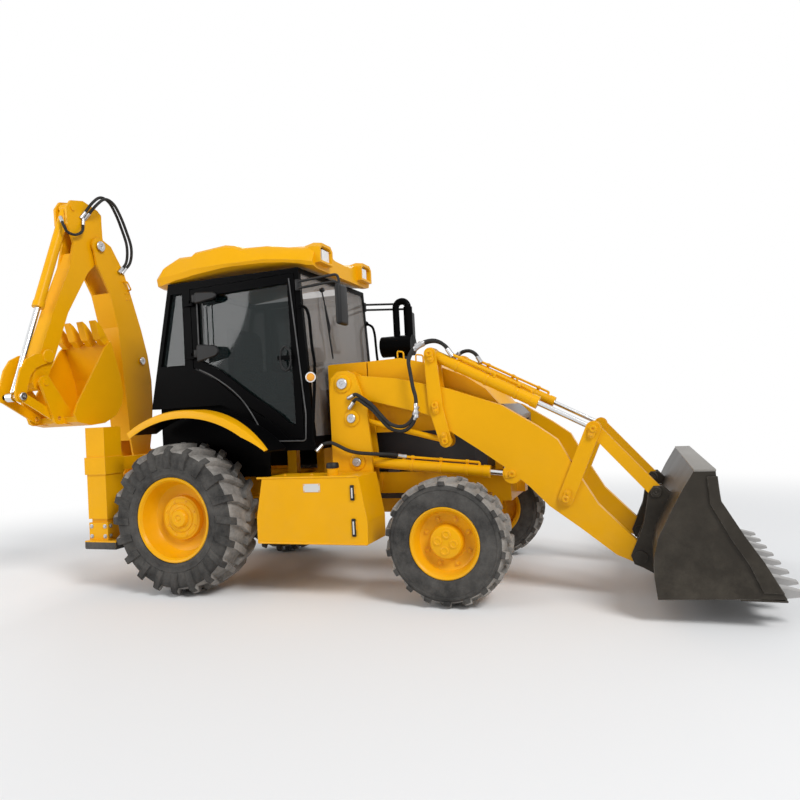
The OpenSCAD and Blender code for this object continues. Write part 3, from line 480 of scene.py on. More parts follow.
# The windscreen's pale grey-brown colour is a painted reflection, not a tint.
PAINTED_SCREEN_REFLECTION, SCREEN_CLEAR, SCREEN_FROM = (0.27, 0.245, 0.225), 0.56, 1.05
PLASTIC = (0.007, 0.007, 0.0075)
POD_RISE = 0.045
ROOF = [  # x, half width, rim, lower edge, shoulder, crown, share of the lamp pods
    (-0.390, 0.600, 2.760, 2.785, 2.815, 2.820, 0), (-0.360, 0.680, 2.745, 2.800, 2.870, 2.880, 0),
    (-0.290, 0.730, 2.738, 2.805, 2.925, 2.945, 0), (-0.100, 0.760, 2.765, 2.812, 2.985, 3.005, 0),
    (0.035, 0.765, 2.778, 2.825, 2.980, 3.010, 0), (0.080, 0.770, 2.785, 2.835, 3.008, 3.020, 0),
    (0.400, 0.770, 2.815, 2.840, 3.032, 3.034, 0), (0.490, 0.765, 2.818, 2.838, 3.015, 3.030, 0),
    (0.560, 0.760, 2.818, 2.838, 2.985, 3.020, 0), (0.800, 0.750, 2.815, 2.838, 2.975, 3.000, 0),
    (1.000, 0.720, 2.800, 2.820, 2.945, 2.960, 0), (1.120, 0.690, 2.780, 2.805, 2.930, 2.925, 0.5),
    (1.180, 0.668, 2.765, 2.795, 2.930, 2.895, 0.7), (1.222, 0.645, 2.765, 2.790, 2.915, 2.880, 0.7),
]


def pane(name, colour, clear):
    """Glass of a given colour, with a film of dust that dulls it in patches; the colour is a tint, and for
    the windscreen a painted reflection.
    """
    finish, tree, main = shader(name)
    place = node(tree, "TexCoord").outputs["Object"]
    film = node(tree, "TexNoise", {"Vector": place}, Scale=1.6, Detail=6.0).outputs["Fac"]
    tree.links.new(ranged(tree, film, (0, 1), (0.015, 0.05)), main.inputs["Roughness"])
    main.inputs["Base Color"].default_value = (*colour, 1)
    main.inputs["Alpha"].default_value = 1 - clear
    main.inputs["IOR"].default_value = 1.45
    return finish


def lens_glass(name, colour, rough, silvered=0.0):
    """Moulded or silvered glass, with a thin film that dulls it in patches."""
    finish, tree, main = shader(name)
    place = node(tree, "TexCoord").outputs["Object"]
    film = node(tree, "TexNoise", {"Vector": place}, Scale=18.0, Detail=5.0).outputs["Fac"]
    tree.links.new(ranged(tree, film, (0, 1), (rough * 0.6, rough * 1.8)), main.inputs["Roughness"])
    deep, pale = tuple(c * 0.86 for c in colour), tuple(min(1.0, c * 1.10) for c in colour)
    tree.links.new(toned(tree, film, deep, pale), main.inputs["Base Color"])
    main.inputs["Metallic"].default_value = silvered
    return finish


def moulded_roof():
    """The roof shell, lofted over cross-sections, swelling at its front edge where the lamp pods sit."""
    mesh = bmesh.new()
    rows = []
    for x, half, rim, low, shoulder, crown, pod in ROOF:
        row = [
            (half - 0.10, rim - 0.020), (half - 0.015, rim - 0.004), (half, low),
            (half - 0.004, low + 0.012), (half - 0.055, shoulder - 0.030), (half - 0.085, shoulder - 0.006),
        ]
        for share in (0.80, 0.66, 0.52, 0.42, 0.34, 0.26, 0.12):
            z = shoulder + (crown - shoulder) * (1 - share ** 2)
            raised = max(0.0, min(1.0, (share - 0.30) / 0.12, (0.93 - share) / 0.10))
            row.append((half * share, z + pod * POD_RISE * raised))
        under = [(half * share, rim - 0.020) for share in (0.2, 0.5, 0.75)]
        full = [(x, -y, z) for y, z in row] + [(x, y, z) for y, z in reversed(row)]
        full += [(x, y, z) for y, z in reversed(under)] + [(x, -y, z) for y, z in under]
        rows.append(full)
    skin(mesh, rows)
    return keep(mesh, "roof_shell", "machine", yellow_paint, 24.0)


tinted_glass = pane("tinted_glass", GLASS, GLASS_CLEAR)
screen_painted_reflection = pane("screen_painted_reflection", PAINTED_SCREEN_REFLECTION, SCREEN_CLEAR)
moulded = coated("moulded_plastic", PLASTIC, 0.50, peel=0.12, gloss=0.0, dust=0.06, edge=0.0, sheen=0.3)
dress(black_paint, "cab_shell", "door_right", "door_left")
dress(tinted_glass, "cab_glass", "door_glass_right", "door_glass_left")
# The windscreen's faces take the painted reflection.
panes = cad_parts["cab_glass"]
panes.data.materials.append(screen_painted_reflection)
for face in panes.data.polygons:
    if (panes.matrix_world @ face.center).x > SCREEN_FROM:
        face.material_index = len(panes.material_slots) - 1
dress(yellow_paint, "cab_roof")
dress(moulded, "cab_interior")
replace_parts(moulded_roof(), "cab_roof")


# The lamps: hooded pods moulded on the roof's front corners, and two square work lamps at its rear edge.
# Each pod is an open yellow hood; the lamp sits deep inside it, a ribbed glass on a black can.
LAMP_OUT, LAMP_LEVEL, LAMP_BACK = 0.459, 2.868, 1.208
POD_LEVEL, POD_HALF = 2.870, (0.129, 0.085)
POD_MOUTH = [(0.330, 2.792), (0.330, 2.925), (0.372, 2.962), (0.545, 2.962), (0.588, 2.925), (0.588, 2.792)]
POD_RINGS = [  # place along the machine, growth all round, lift of the top
    (1.080, 0.010, -0.028), (1.200, 0.006, 0.004), (1.274, 0.0, 0.0), (1.272, -0.022, 0.0),
    (1.208, -0.030, 0.0),
]
LAMP_CAN = [(0.066, 0.0), (0.068, 0.030), (0.062, 0.034), (0.056, 0.030)]
LAMP_LENS = [(0.057, 0.0), (0.057, 0.022), (0.052, 0.030), (0.034, 0.036), (0.0, 0.038)]
WORK_BACK, WORK_FRONT, WORK_FOOT, WORK_TOP = -0.386, -0.360, 2.797, 2.863
WORK_INNER, WORK_OUTER, WORK_BAR = 0.362, 0.488, 0.012
LENS_RIBS, LENS_RIB_X, LENS_RIB_GAP = 7, 1.243, 0.013
WORK_RIBS, WORK_RIB_X, WORK_RIB_Z, WORK_RIB_GAP = 9, -0.376, 2.808, 0.0108


def slab(mesh, low, high, edge=0.004, steps=2):
    """A block with rounded edges."""
    low, high = Vector(low), Vector(high)
    made = bmesh.ops.create_cube(mesh, size=1.0)["verts"]
    for v in made:
        v.co = Vector(((low[i] + high[i]) / 2 + v.co[i] * (high[i] - low[i]) for i in range(3)))
    edges = list({e for v in made for e in v.link_edges})
    bmesh.ops.bevel(mesh, geom=edges, offset=edge, segments=steps, affect="EDGES", profile=0.5)


def hooded_pod(mesh, side):
    """A hood of six sides, wider at its mouth, with a wall's thickness and a floor."""
    rows = []
    for x, grow, lift in POD_RINGS:
        row = []
        for y, z in POD_MOUTH:
            dy, dz = (y - LAMP_OUT) / POD_HALF[0], (z - POD_LEVEL) / POD_HALF[1]
            row.append((x, side * (y + grow * dy), z + grow * dz + lift * (dz > 0)))
        rows.append(row)
    skin(mesh, rows)


lens_finish = lens_glass("lamp_lens", (0.78, 0.79, 0.79), 0.08)
dress(lens_finish, "lamps")
lenses, bezels, pods = bmesh.new(), bmesh.new(), bmesh.new()
for side in (-1, 1):
    hooded_pod(pods, side)
    at = Vector((LAMP_BACK, side * LAMP_OUT, LAMP_LEVEL))
    turned(bezels, LAMP_CAN, at, (1, 0, 0), 32)
    turned(lenses, LAMP_LENS, at, (1, 0, 0), 32)
    for k in range(LENS_RIBS):
        rib = (LENS_RIB_X, side * LAMP_OUT + LENS_RIB_GAP * (k - 3), LAMP_LEVEL)
        turned(lenses, [(0.004, -0.040), (0.004, 0.040)], rib, (0, 0, 1), 8)
    low, high = sorted((side * WORK_INNER, side * WORK_OUTER))
    for start, end in (
        ((low, WORK_FOOT), (low + WORK_BAR, WORK_TOP)), ((high - WORK_BAR, WORK_FOOT), (high, WORK_TOP)),
        ((low, WORK_FOOT), (high, WORK_FOOT + WORK_BAR)), ((low, WORK_TOP - WORK_BAR), (high, WORK_TOP)),
    ):
        slab(bezels, (WORK_BACK, *start), (WORK_FRONT, *end), 0.003)
    for k in range(WORK_RIBS):
        rib = (WORK_RIB_X, low + 0.020 + WORK_RIB_GAP * k, WORK_RIB_Z)
        turned(lenses, [(0.005, 0.0), (0.005, 0.044)], rib, (0, 0, 1), 10)
keep(pods, "lamp_pods", "machine", yellow_paint, 24.0)
keep(lenses, "lamp_lenses", "machine", lens_finish)
keep(bezels, "lamp_bezels", "machine", moulded)


# The doors' hardware: two covered hinges a side, an oval handle bezel, a hand rail and a marker lamp.
# Covers and bezel are black mouldings; the grey seal is a drawn rubber section pressed on the frame's edge,
# and its pale grey, like that of two thin bars by the hinges, is partly a painted highlight along the black
# edges.
DOOR_FACE, SEAL_OUT, RAIL_OUT = 0.752, 0.726, 0.742
HINGES = ((2.572, 0.052), (2.080, 0.080))  # height, and the cover's half height
HINGE_COVER = [(0.108, -1.0), (0.310, -0.5), (0.342, 0.0), (0.310, 0.7), (0.125, 1.0), (0.108, 0.8)]
HANDLE_X, HANDLE_Z, HANDLE_OUT, HANDLE_WIDE, HANDLE_HIGH = 0.976, 1.970, 0.738, 0.050, 0.102
SEAL = [  # the first six points curve over the wheel arch, the others are straight runs
    (0.095, 1.937), (0.233, 1.868), (0.407, 1.750), (0.536, 1.625), (0.648, 1.456), (0.743, 1.273),
    (1.123, 1.266), (1.136, 1.491), (1.126, 1.593), (1.034, 2.650),
]
RAIL = [
    (1.128, 2.412), (1.199, 2.378), (1.219, 2.295), (1.231, 2.047), (1.249, 1.922), (1.240, 1.766),
    (1.192, 1.240),
]
RAIL_FLANGE = [(0.026, -0.004), (0.026, 0.006), (0.018, 0.008)]
MARKER_X, MARKER_OUT, MARKER_Z, MARKER_TURN = 1.212, 0.755, 1.795, 0.35
MARKER_CAN = [(0.036, -0.03), (0.044, 0.0), (0.044, 0.010), (0.038, 0.014), (0.034, 0.012)]
MARKER_LENS = [(0.034, 0.0), (0.034, 0.012), (0.028, 0.022), (0.012, 0.027), (0.0, 0.028)]


def sweep(points, steps=8):
    """A smooth line through the given points."""
    points = [Vector(p) for p in points]
    padded = [2 * points[0] - points[1], *points, 2 * points[-1] - points[-2]]
    line = []
    for a, b, c, d in zip(padded, padded[1:], padded[2:], padded[3:]):
        bend, twist = 2 * a - 5 * b + 4 * c - d, 3 * b - a - 3 * c + d
        for i in range(steps):
            t = i / steps
            line.append(0.5 * (2 * b + (c - a) * t + bend * t * t + twist * t ** 3))
    return line + [points[-1]]


def plate(mesh, outline, start, thick, edge=0.003):
    """Flat bar cut to an outline of points, given its thickness along a direction, edges broken."""
    thick = Vector(thick)
    first = [mesh.verts.new(Vector(p) + Vector(start)) for p in outline]
    second = [mesh.verts.new(v.co + thick) for v in first]
    count = len(first)
    faces = [mesh.faces.new(list(reversed(first))), mesh.faces.new(second)]
    for i in range(count):
        j = (i + 1) % count
        faces.append(mesh.faces.new((first[i], first[j], second[j], second[i])))
    edges = list({e for f in faces for e in f.edges})
    bmesh.ops.bevel(mesh, geom=edges, offset=edge, segments=1, affect="EDGES", profile=0.5)


def side_outline(points):
    """An outline in the side view: (x, z) pairs."""
    return [(x, 0.0, z) for x, z in points]


def side_slab(mesh, side, low, high, edge, steps=2):
    """A rounded block given for the left side, set on either side of the machine."""
    near, far = sorted((side * low[1], side * high[1]))
    slab(mesh, (low[0], near, low[2]), (high[0], far, high[2]), edge, steps)


amber = lens_glass("amber_lens", (0.80, 0.34, 0.02), 0.12)
# The seal's grey is partly the rubber's own and partly a painted highlight on the cab's black edges.
seal_and_painted_highlight = rubber("seal_and_painted_highlight", (0.05, 0.05, 0.05), (0.13, 0.13, 0.13))
for way, side in (("right", -1), ("left", 1)):
    mesh = bmesh.new()
    for z, high in HINGES:
        outline = side_outline([(x, z + share * high) for x, share in HINGE_COVER])
        plate(mesh, outline, (0, side * DOOR_FACE, 0), (0, side * 0.030, 0), 0.010)
        side_slab(mesh, side, (0.072, DOOR_FACE, z - 0.034), (0.112, 0.766, z + 0.034), 0.006)
    oval = []
    for i in range(41):
        angle = TURN * i / 40
        x, z = HANDLE_X + HANDLE_WIDE * math.cos(angle), HANDLE_Z + HANDLE_HIGH * math.sin(angle)
        oval.append((x, side * HANDLE_OUT, z))
    tube(mesh, oval, 0.010, 10)
    keep(mesh, f"door_mouldings_{way}", f"door_{way}", moulded)
    mesh = bmesh.new()
    seal = [(x, side * SEAL_OUT, z) for x, z in SEAL]
    tube(mesh, sweep(seal[:6], 6), 0.006, 8)
    tube(mesh, rounded_path(seal[5:], 0.03), 0.006, 8)
    # Two thin grey bars by the hinges: hinge rods whose grey is partly a painted highlight.
    for x in (0.118, 0.176):
        tube(mesh, [(x, side * DOOR_FACE, 2.150), (x, side * DOOR_FACE, 2.520)], 0.006, 8)
    keep(mesh, f"door_seal_{way}", f"door_{way}", seal_and_painted_highlight)
    mesh = bmesh.new()
    rail = [(x, side * RAIL_OUT, z) for x, z in RAIL]
    tube(mesh, rounded_path(rail, 0.05), 0.013, 12)
    for at in (rail[0], rail[-1]):
        turned(mesh, RAIL_FLANGE, at, (0, -side, 0), 20)
    keep(mesh, f"cab_handrail_{way}", "machine", black_paint)
    for name, profile, finish in (
        ("marker_lamp", MARKER_CAN, lens_finish), ("marker_lens", MARKER_LENS, amber),
    ):
        mesh = bmesh.new()
        turned(mesh, profile, (MARKER_X, side * MARKER_OUT, MARKER_Z), (MARKER_TURN, side, 0), 28)
        keep(mesh, f"{name}_{way}", "machine", finish)


# The mirrors and the wiper: bent bar arms, a rounded shell round each silvered glass, a sprung blade.
# The arms are clamped to the front posts, the wiper's pivot sits at the head of the windscreen.
MIRROR_ARMS = ((2.610, 0.0), (2.555, 0.012))  # height at the post, and how much shorter the bar is
POST_CLAMP = (1.100, 0.705, 2.535), (1.140, 0.745, 2.630)
MIRROR_SHELL = (1.552, 0.792, 2.185), (1.604, 0.952, 2.510)
MIRROR_GLASS = (1.5495, 0.818, 2.212), (1.5560, 0.926, 2.483)
WIPER_HEAD, WIPER_TIP = Vector((1.142, -0.32, 2.600)), Vector((1.190, -0.26, 1.980))


def off_screen(share, gap):
    """A point along the wiper, standing off the windscreen by a gap."""
    return WIPER_HEAD.lerp(WIPER_TIP, share) + Vector((gap, 0, 0))


silver = lens_glass("mirror_glass", (0.80, 0.82, 0.83), 0.06, silvered=1.0)
dress(moulded, "mirrors")
mesh, glasses = bmesh.new(), bmesh.new()
for side in (-1, 1):
    for z, short in MIRROR_ARMS:
        elbow, end = (1.566 - short, side * 0.884, z - 0.012), (1.574 - short, side * 0.888, 2.44)
        tube(mesh, rounded_path([(1.115, side * 0.728, z), elbow, end], 0.05), 0.011)
    side_slab(mesh, side, *POST_CLAMP, 0.006)
    side_slab(mesh, side, *MIRROR_SHELL, 0.024, 4)
    side_slab(glasses, side, *MIRROR_GLASS, 0.002, 1)
tube(mesh, [WIPER_HEAD, off_screen(0.55, 0.024), off_screen(0.62, 0.012)], 0.007, 8)
tube(mesh, [off_screen(0.25, 0.008), off_screen(1.0, 0.004)], 0.008, 8)
turned(mesh, [(0.020, -0.01), (0.020, 0.02), (0.012, 0.028)], WIPER_HEAD, (1, 0, 0.1), 20)
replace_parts(keep(mesh, "mirror_arms", "machine", moulded), "mirrors")
keep(glasses, "mirror_glasses", "machine", silver)


# The seat: two foam pads under woven cloth, crowned by their stuffing and rounded at the edges.
# They sit on the seat's pan and back frame.
def cushion(name, low, high, crown, face):
    """A pad whose face rises to the middle and whose edges are rounded."""
    steps = 14
    grid = [-1 + 2 * i / steps for i in range(steps + 1)]
    low, high = Vector(low), Vector(high)
    first, second = [k for k in range(3) if k != face]

    def put(u, v, rise):
        p = [0.0, 0.0, 0.0]
        for k, share in ((first, (u + 1) / 2), (second, (v + 1) / 2), (face, rise)):
            p[k] = low[k] + share * (high[k] - low[k])
        return Vector(p)

    def swell(u, v):
        edge = max(0.0, (1 - u ** 6) * (1 - v ** 6)) ** 0.5
        return edge * (1 + crown * (1 - u * u) * (1 - v * v))

    top = [[put(u, v, 0.02 + 0.9 * swell(u, v)) for v in grid] for u in grid]
    base = [[put(u, v, 0.0) for v in grid] for u in grid]
    walls = [(top[0], base[0]), (top[-1], base[-1])]
    walls += [([row[k] for row in top], [row[k] for row in base]) for k in (0, -1)]
    mesh = bmesh.new()
    for sheet in (top, base, *walls):
        skin(mesh, sheet, loop=False, cap=False)
    return keep(mesh, name, "machine", cloth, 60.0)


cloth = rubber("seat_cloth", (0.030, 0.031, 0.034), (0.060, 0.060, 0.064), grain=420.0)
cushion("seat_cushion", (0.140, -0.232, 1.798), (0.598, 0.232, 1.905), 0.30, 2)
cushion("seat_backrest", (0.128, -0.212, 1.880), (0.225, 0.212, 2.340), 0.25, 0)


# The fenders and side tanks: pressed and welded sheet; a rolled lip stiffens each fender's outer edge.
# Each tank has sight gauges, a blank plate and a filler under a black moulded cap.
FENDER_X, FENDER_Z, FENDER_RADIUS, FENDER_OUT = 0.146, 0.495, 1.083, 1.090
FENDER_START, FENDER_SWEEP, FENDER_STEPS = 122, 80, 36
GAUGES, GAUGE_X = ((0.800, 0.920), (0.520, 0.660)), 1.647
BLANK_PLATE = (1.222, 1.000, 0.868), (1.370, 1.004, 0.933)
FILLER_CAP = [(0.052, 0.0), (0.052, 0.008), (0.050, 0.034), (0.044, 0.042), (0.020, 0.044), (0.0, 0.044)]
TANK_BEADS = ((0.800, 1.690, 0.985), (0.790, 1.750, 0.460))  # from, to, height

plate_white = coated("plate_white", (0.62, 0.61, 0.58), 0.4, dust=0.1, edge=0.0)
dress(yellow_paint, "fenders", "side_tanks")
mesh = bmesh.new()
for side in (-1, 1):
    rows = []
    for i in range(FENDER_STEPS + 1):
        degrees = FENDER_START - FENDER_SWEEP * i / FENDER_STEPS
        angle = math.radians(degrees)
        lip = 0.068 - 0.050 * min(1.0, max(0.0, (55 - degrees) / 13))
        bend = min(0.030, 0.7 * lip)
        inner = 0.716 + 0.181 * min(1.0, max(0.0, (100 - degrees) / 19))
        inner += 0.159 * max(0.0, (81 - degrees) / 39)
        row = []
        for y, drop in (
            (inner, 0.0), (FENDER_OUT - 0.030, 0.0), (FENDER_OUT - 0.008, -0.3 * bend), (FENDER_OUT, -bend),
            (FENDER_OUT, -lip), (FENDER_OUT - 0.010, -lip), (FENDER_OUT - 0.014, -0.9 * bend),
            (FENDER_OUT - 0.036, -0.5 * bend), (inner, -0.018),
        ):
            radius = FENDER_RADIUS + drop
            row.append((FENDER_X + radius * math.cos(angle), side * y, FENDER_Z + radius * math.sin(angle)))
        rows.append(row)
    skin(mesh, rows)
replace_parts(keep(mesh, "rolled_fenders", "machine", yellow_paint, 30.0), "fenders")
beads, fittings, plates = bmesh.new(), bmesh.new(), bmesh.new()
for side in (-1, 1):
    for foot, top in GAUGES:
        side_slab(fittings, side, (GAUGE_X - 0.017, 1.000, foot), (GAUGE_X + 0.017, 1.014, top), 0.006)
        tube(plates, [(GAUGE_X, side * 1.013, foot + 0.02), (GAUGE_X, side * 1.013, top - 0.02)], 0.007, 10)
    side_slab(plates, side, *BLANK_PLATE, 0.0015, 1)
    for x in (1.230, 1.362):
        for z in (0.876, 0.925):
            bolt(beads, (x, side * 1.003, z), (0, side, 0), 0.004)
    turned(fittings, FILLER_CAP, (1.421, side * 0.860, 1.044), (0, 0, 1), 40)
    for back, front, z in TANK_BEADS:
        tube(beads, [(back, side * 0.999, z), (front, side * 0.999, z)], 0.008, 8)
    for x in (0.95, 1.20, 1.45):
        bolt(beads, (x, side * 0.80, 0.984), (0, 0, 1), 0.010)
keep(beads, "side_beads", "machine", yellow_paint)
keep(fittings, "tank_fittings", "machine", moulded)
keep(plates, "blank_plates", "machine", plate_white)


# The loader: box-section arms, levers, links and rams in yellow, with hard-chromed rods and steel pins.
# Drilled pins are held by bolted keepers; pipes are clipped to the rams and fed by black hoses at the pivots.
PIN_A, PIN_B, PIN_C = (1.433, 1.728), (1.503, 1.433), (1.534, 1.067)
PIN_M, PIN_N, PIN_T = (2.232, 1.508), (2.302, 1.213), (2.207, 1.924)
PIN_E, PIN_G = (2.817, 0.940), (3.217, 0.747)
PIN_F, PIN_H = (3.444, 1.268), (3.856, 0.793)
TOWER_OUT, RING_OUT, LEVER_OUT, ARM_OUT, PIVOT_OUT, LINK_OUT = 0.621, 0.608, 0.606, 0.575, 0.608, 0.610
RAM_OUT, RAM_RUN, RAM_UP = 0.53, Vector((0.8835, 0, -0.4685)), Vector((0.4685, 0, 0.8835))
LIFT_RUN, LIFT_UP = Vector((0.9952, 0, -0.0985)), Vector((0.0985, 0, 0.9952))
PIPE_ON, PIPE_OFF, PIPE_RADIUS, PIPE_APART = 0.040, 0.066, 0.011, 0.020
PIPE_CLIP = [(0.016, -0.012), (0.016, 0.012)]
TILT_BAND = [(0.050, -0.012), (0.051, -0.010), (0.051, 0.010), (0.050, 0.012)]
LIFT_BAND = [(0.048, -0.012), (0.050, -0.010), (0.050, 0.010), (0.048, 0.012)]
KEEPER_REACH, KEEPER_ROUND, KEEPER_THICK = 0.048, 0.026, 0.008
DRILLED_PIN = [(0.027, 0.0), (0.027, 0.014), (0.023, 0.018), (0.012, 0.018), (0.011, 0.009), (0.0, 0.009)]


def metal(name, colour, rough, scratch):
    """Bare metal with fine marks that vary its sheen."""
    finish, tree, main = shader(name)
    place = node(tree, "TexCoord").outputs["Object"]
    marks = node(tree, "TexNoise", {"Vector": place}, Scale=scratch, Detail=6.0, Roughness=0.65)
    marks = marks.outputs["Fac"]
    tree.links.new(ranged(tree, marks, (0, 1), (rough * 0.6, rough * 1.5)), main.inputs["Roughness"])
    tree.links.new(toned(tree, marks, tuple(c * 0.8 for c in colour), colour), main.inputs["Base Color"])
    main.inputs["Metallic"].default_value = 1.0
    return finish


def pin_end(mesh, at, toward, radius):
    """A pin's end: a turned, chamfered head with a grease nipple."""
    head = [(radius, 0.0), (radius, 0.010), (radius - 0.004, 0.014), (radius * 0.45, 0.014)]
    turned(mesh, head + [(radius * 0.40, 0.011), (0.0, 0.011)], at, toward, 36)
    turned(mesh, [(0.005, 0.010), (0.005, 0.018), (0.003, 0.022), (0.0, 0.023)], at, toward, 10)


def keeper(mesh, at, out, tilt):
    """A drilled pin end in a small keeper with one bolt, all painted over."""
    at, along = Vector(at), Vector((math.cos(tilt), 0, math.sin(tilt)))
    across = Vector((-math.sin(tilt), 0, math.cos(tilt)))
    ring = []
    for i in range(16):
        angle = TURN * (i + 0.5) / 16
        reach = KEEPER_REACH * (i < 8) + KEEPER_ROUND * math.sin(angle)
        ring.append(along * reach + across * KEEPER_ROUND * math.cos(angle))
    thick = Vector((0, out * KEEPER_THICK, 0))
    plate(mesh, ring, at, thick, 0.002)
    turned(mesh, DRILLED_PIN, at, (0, out, 0), 28)
    bolt(mesh, at + along * KEEPER_REACH + thick, (0, out, 0), 0.010)


chrome = metal("hard_chrome", (0.78, 0.79, 0.80), 0.16, 60.0)
bright_steel = metal("bright_steel", (0.55, 0.55, 0.56), 0.34, 45.0)
dress(yellow_paint, "loader_arms", "arm_tube", "lift_barrels", "rear_levers", "level_links")
dress(yellow_paint, "tilt_barrels", "front_levers", "bucket_links", "lever_pins", "link_pins")
dress(chrome, "lift_rods", "tilt_rods")
heads, rings, tilt_pipes, lift_pipes = (bmesh.new() for _ in range(4))
lever_caps, arm_caps, pivot_caps, link_caps = (bmesh.new() for _ in range(4))
for side in (-1, 1):
    for (x, z), size in ((PIN_A, 0.046), (PIN_B, 0.038), (PIN_C, 0.038)):
        pin_end(heads, (x, side * TOWER_OUT, z), (0, side, 0), size)
        ring = [(size + 0.030, 0.0), (size + 0.030, 0.008), (size + 0.024, 0.012), (size + 0.004, 0.012)]
        turned(rings, ring, (x, side * RING_OUT, z), (0, side, 0), 40)
    for caps, (x, z), out, tilt in (
        (lever_caps, PIN_M, LEVER_OUT, -1.45), (lever_caps, PIN_T, LEVER_OUT, -1.35),
        (lever_caps, PIN_N, LEVER_OUT, 1.75), (arm_caps, PIN_E, ARM_OUT, 3.3),
        (pivot_caps, PIN_G, PIVOT_OUT, 1.2), (link_caps, PIN_F, LINK_OUT, -1.9),
    ):
        keeper(caps, (x, side * out, z), side, tilt)
    start = Vector((PIN_T[0], side * RAM_OUT, PIN_T[1]))
    for offset, end in ((-PIPE_APART, 0.55), (PIPE_APART, 0.86)):
        line = [start + RAM_RUN * a + RAM_UP * b + Vector((0, offset, 0))
                for a, b in ((0.16, PIPE_ON), (0.16, PIPE_OFF), (end, PIPE_OFF), (end, PIPE_ON))]
        tube(tilt_pipes, rounded_path(line, 0.020), PIPE_RADIUS, 12)
    for a in (0.24, 0.50, 0.76):
        at = start + RAM_RUN * a
        turned(tilt_pipes, TILT_BAND, at, RAM_RUN, 40)
        clip = at + RAM_UP * PIPE_OFF
        for offset in (-PIPE_APART, PIPE_APART):
            turned(tilt_pipes, PIPE_CLIP, clip + Vector((0, offset, 0)), RAM_RUN, 16)
        bolt(tilt_pipes, clip + RAM_UP * 0.012, RAM_UP, 0.006)
    start = Vector((PIN_C[0], side * RAM_OUT, PIN_C[1]))
    line = [start + LIFT_RUN * a + LIFT_UP * b
            for a, b in ((0.38, PIPE_ON), (0.38, PIPE_OFF), (1.02, PIPE_OFF), (1.02, PIPE_ON))]
    tube(lift_pipes, rounded_path(line, 0.020), PIPE_RADIUS, 12)
    for a in (0.46, 0.70, 0.92):
        turned(lift_pipes, LIFT_BAND, start + LIFT_RUN * a, LIFT_RUN, 40)
        turned(lift_pipes, PIPE_CLIP, start + LIFT_RUN * a + LIFT_UP * PIPE_OFF, LIFT_RUN, 16)
keep(heads, "tower_pin_heads", "machine", bright_steel)
for mesh, name, body in (
    (rings, "tower_pin_rings", "machine"), (lever_caps, "lever_keepers", "rear_levers"),
    (arm_caps, "arm_keepers", "loader_arms"), (pivot_caps, "pivot_keepers", "lever_pins"),
    (link_caps, "link_keepers", "link_pins"), (tilt_pipes, "tilt_pipes", "tilt_barrels"),
    (lift_pipes, "lift_pipes", "lift_barrels"),
):
    keep(mesh, name, body, yellow_paint)


# The loader's hoses: black wire-braided rubber with crimped steel ends, two by two from tower to ram.
# They loop slackly over each pivot, because the arm, lever and barrel they join turn against each other.
HOSE_RADIUS = 0.015
TOWER_END, ARM_LINE, RAM_PORTS = 0.632, 0.660, 0.041
CRIMP = [(0.8, -0.030), (1.35, -0.028), (1.35, -0.006), (1.22, 0.0), (1.22, 0.045), (1.05, 0.050)]
LOADER_LOOP = [
    (1.510, 1.612), (1.571, 1.630), (1.642, 1.587), (1.712, 1.533), (1.780, 1.454), (1.847, 1.384),
    (1.916, 1.352), (1.986, 1.353), (2.050, 1.400), (2.089, 1.480),
]
LEVER_LOOP = [
    (2.089, 0.660, 1.480), (2.090, 0.660, 1.579), (2.069, 0.655, 1.670), (2.053, 0.650, 1.778),
    (2.039, 0.640, 1.882), (2.069, 0.628, 1.955), (2.124, 0.615, 2.000),
]
RAM_LOOP = [
    (2.124, 0.615, 2.000), (2.195, 0.600, 2.027), (2.264, 0.585, 2.025), (2.325, 0.565, 1.985),
    (2.368, 0.551, 1.915),
]
LIFT_LOOP = [
    (1.224, 0.700, 1.192), (1.252, 0.672, 1.226), (1.316, 0.655, 1.238), (1.381, 0.655, 1.214),
    (1.463, 0.655, 1.173), (1.546, 0.652, 1.149), (1.640, 0.650, 1.138), (1.740, 0.640, 1.130),
    (1.830, 0.585, 1.120), (1.880, 0.545, 1.106), (1.915, 0.534, 1.099),
]


def hose(name, points, radius, bodies):
    """A rubber hose along a line between two bodies, with crimped ends that ride on them."""
    path = sweep(points, 8)
    mesh = bmesh.new()
    tube(mesh, path, radius, 14)
    piece = keep(mesh, name, None, hose_rubber, 60.0)
    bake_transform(piece)
    for place, at, inward, body in (
        ("start", path[0], path[1], bodies[0]), ("end", path[-1], path[-2], bodies[1]),
    ):
        fitting = bmesh.new()
        turned(fitting, [(radius * r, h) for r, h in CRIMP], at, inward - at, 12)
        keep(fitting, f"{name}_{place}", body, bright_steel)


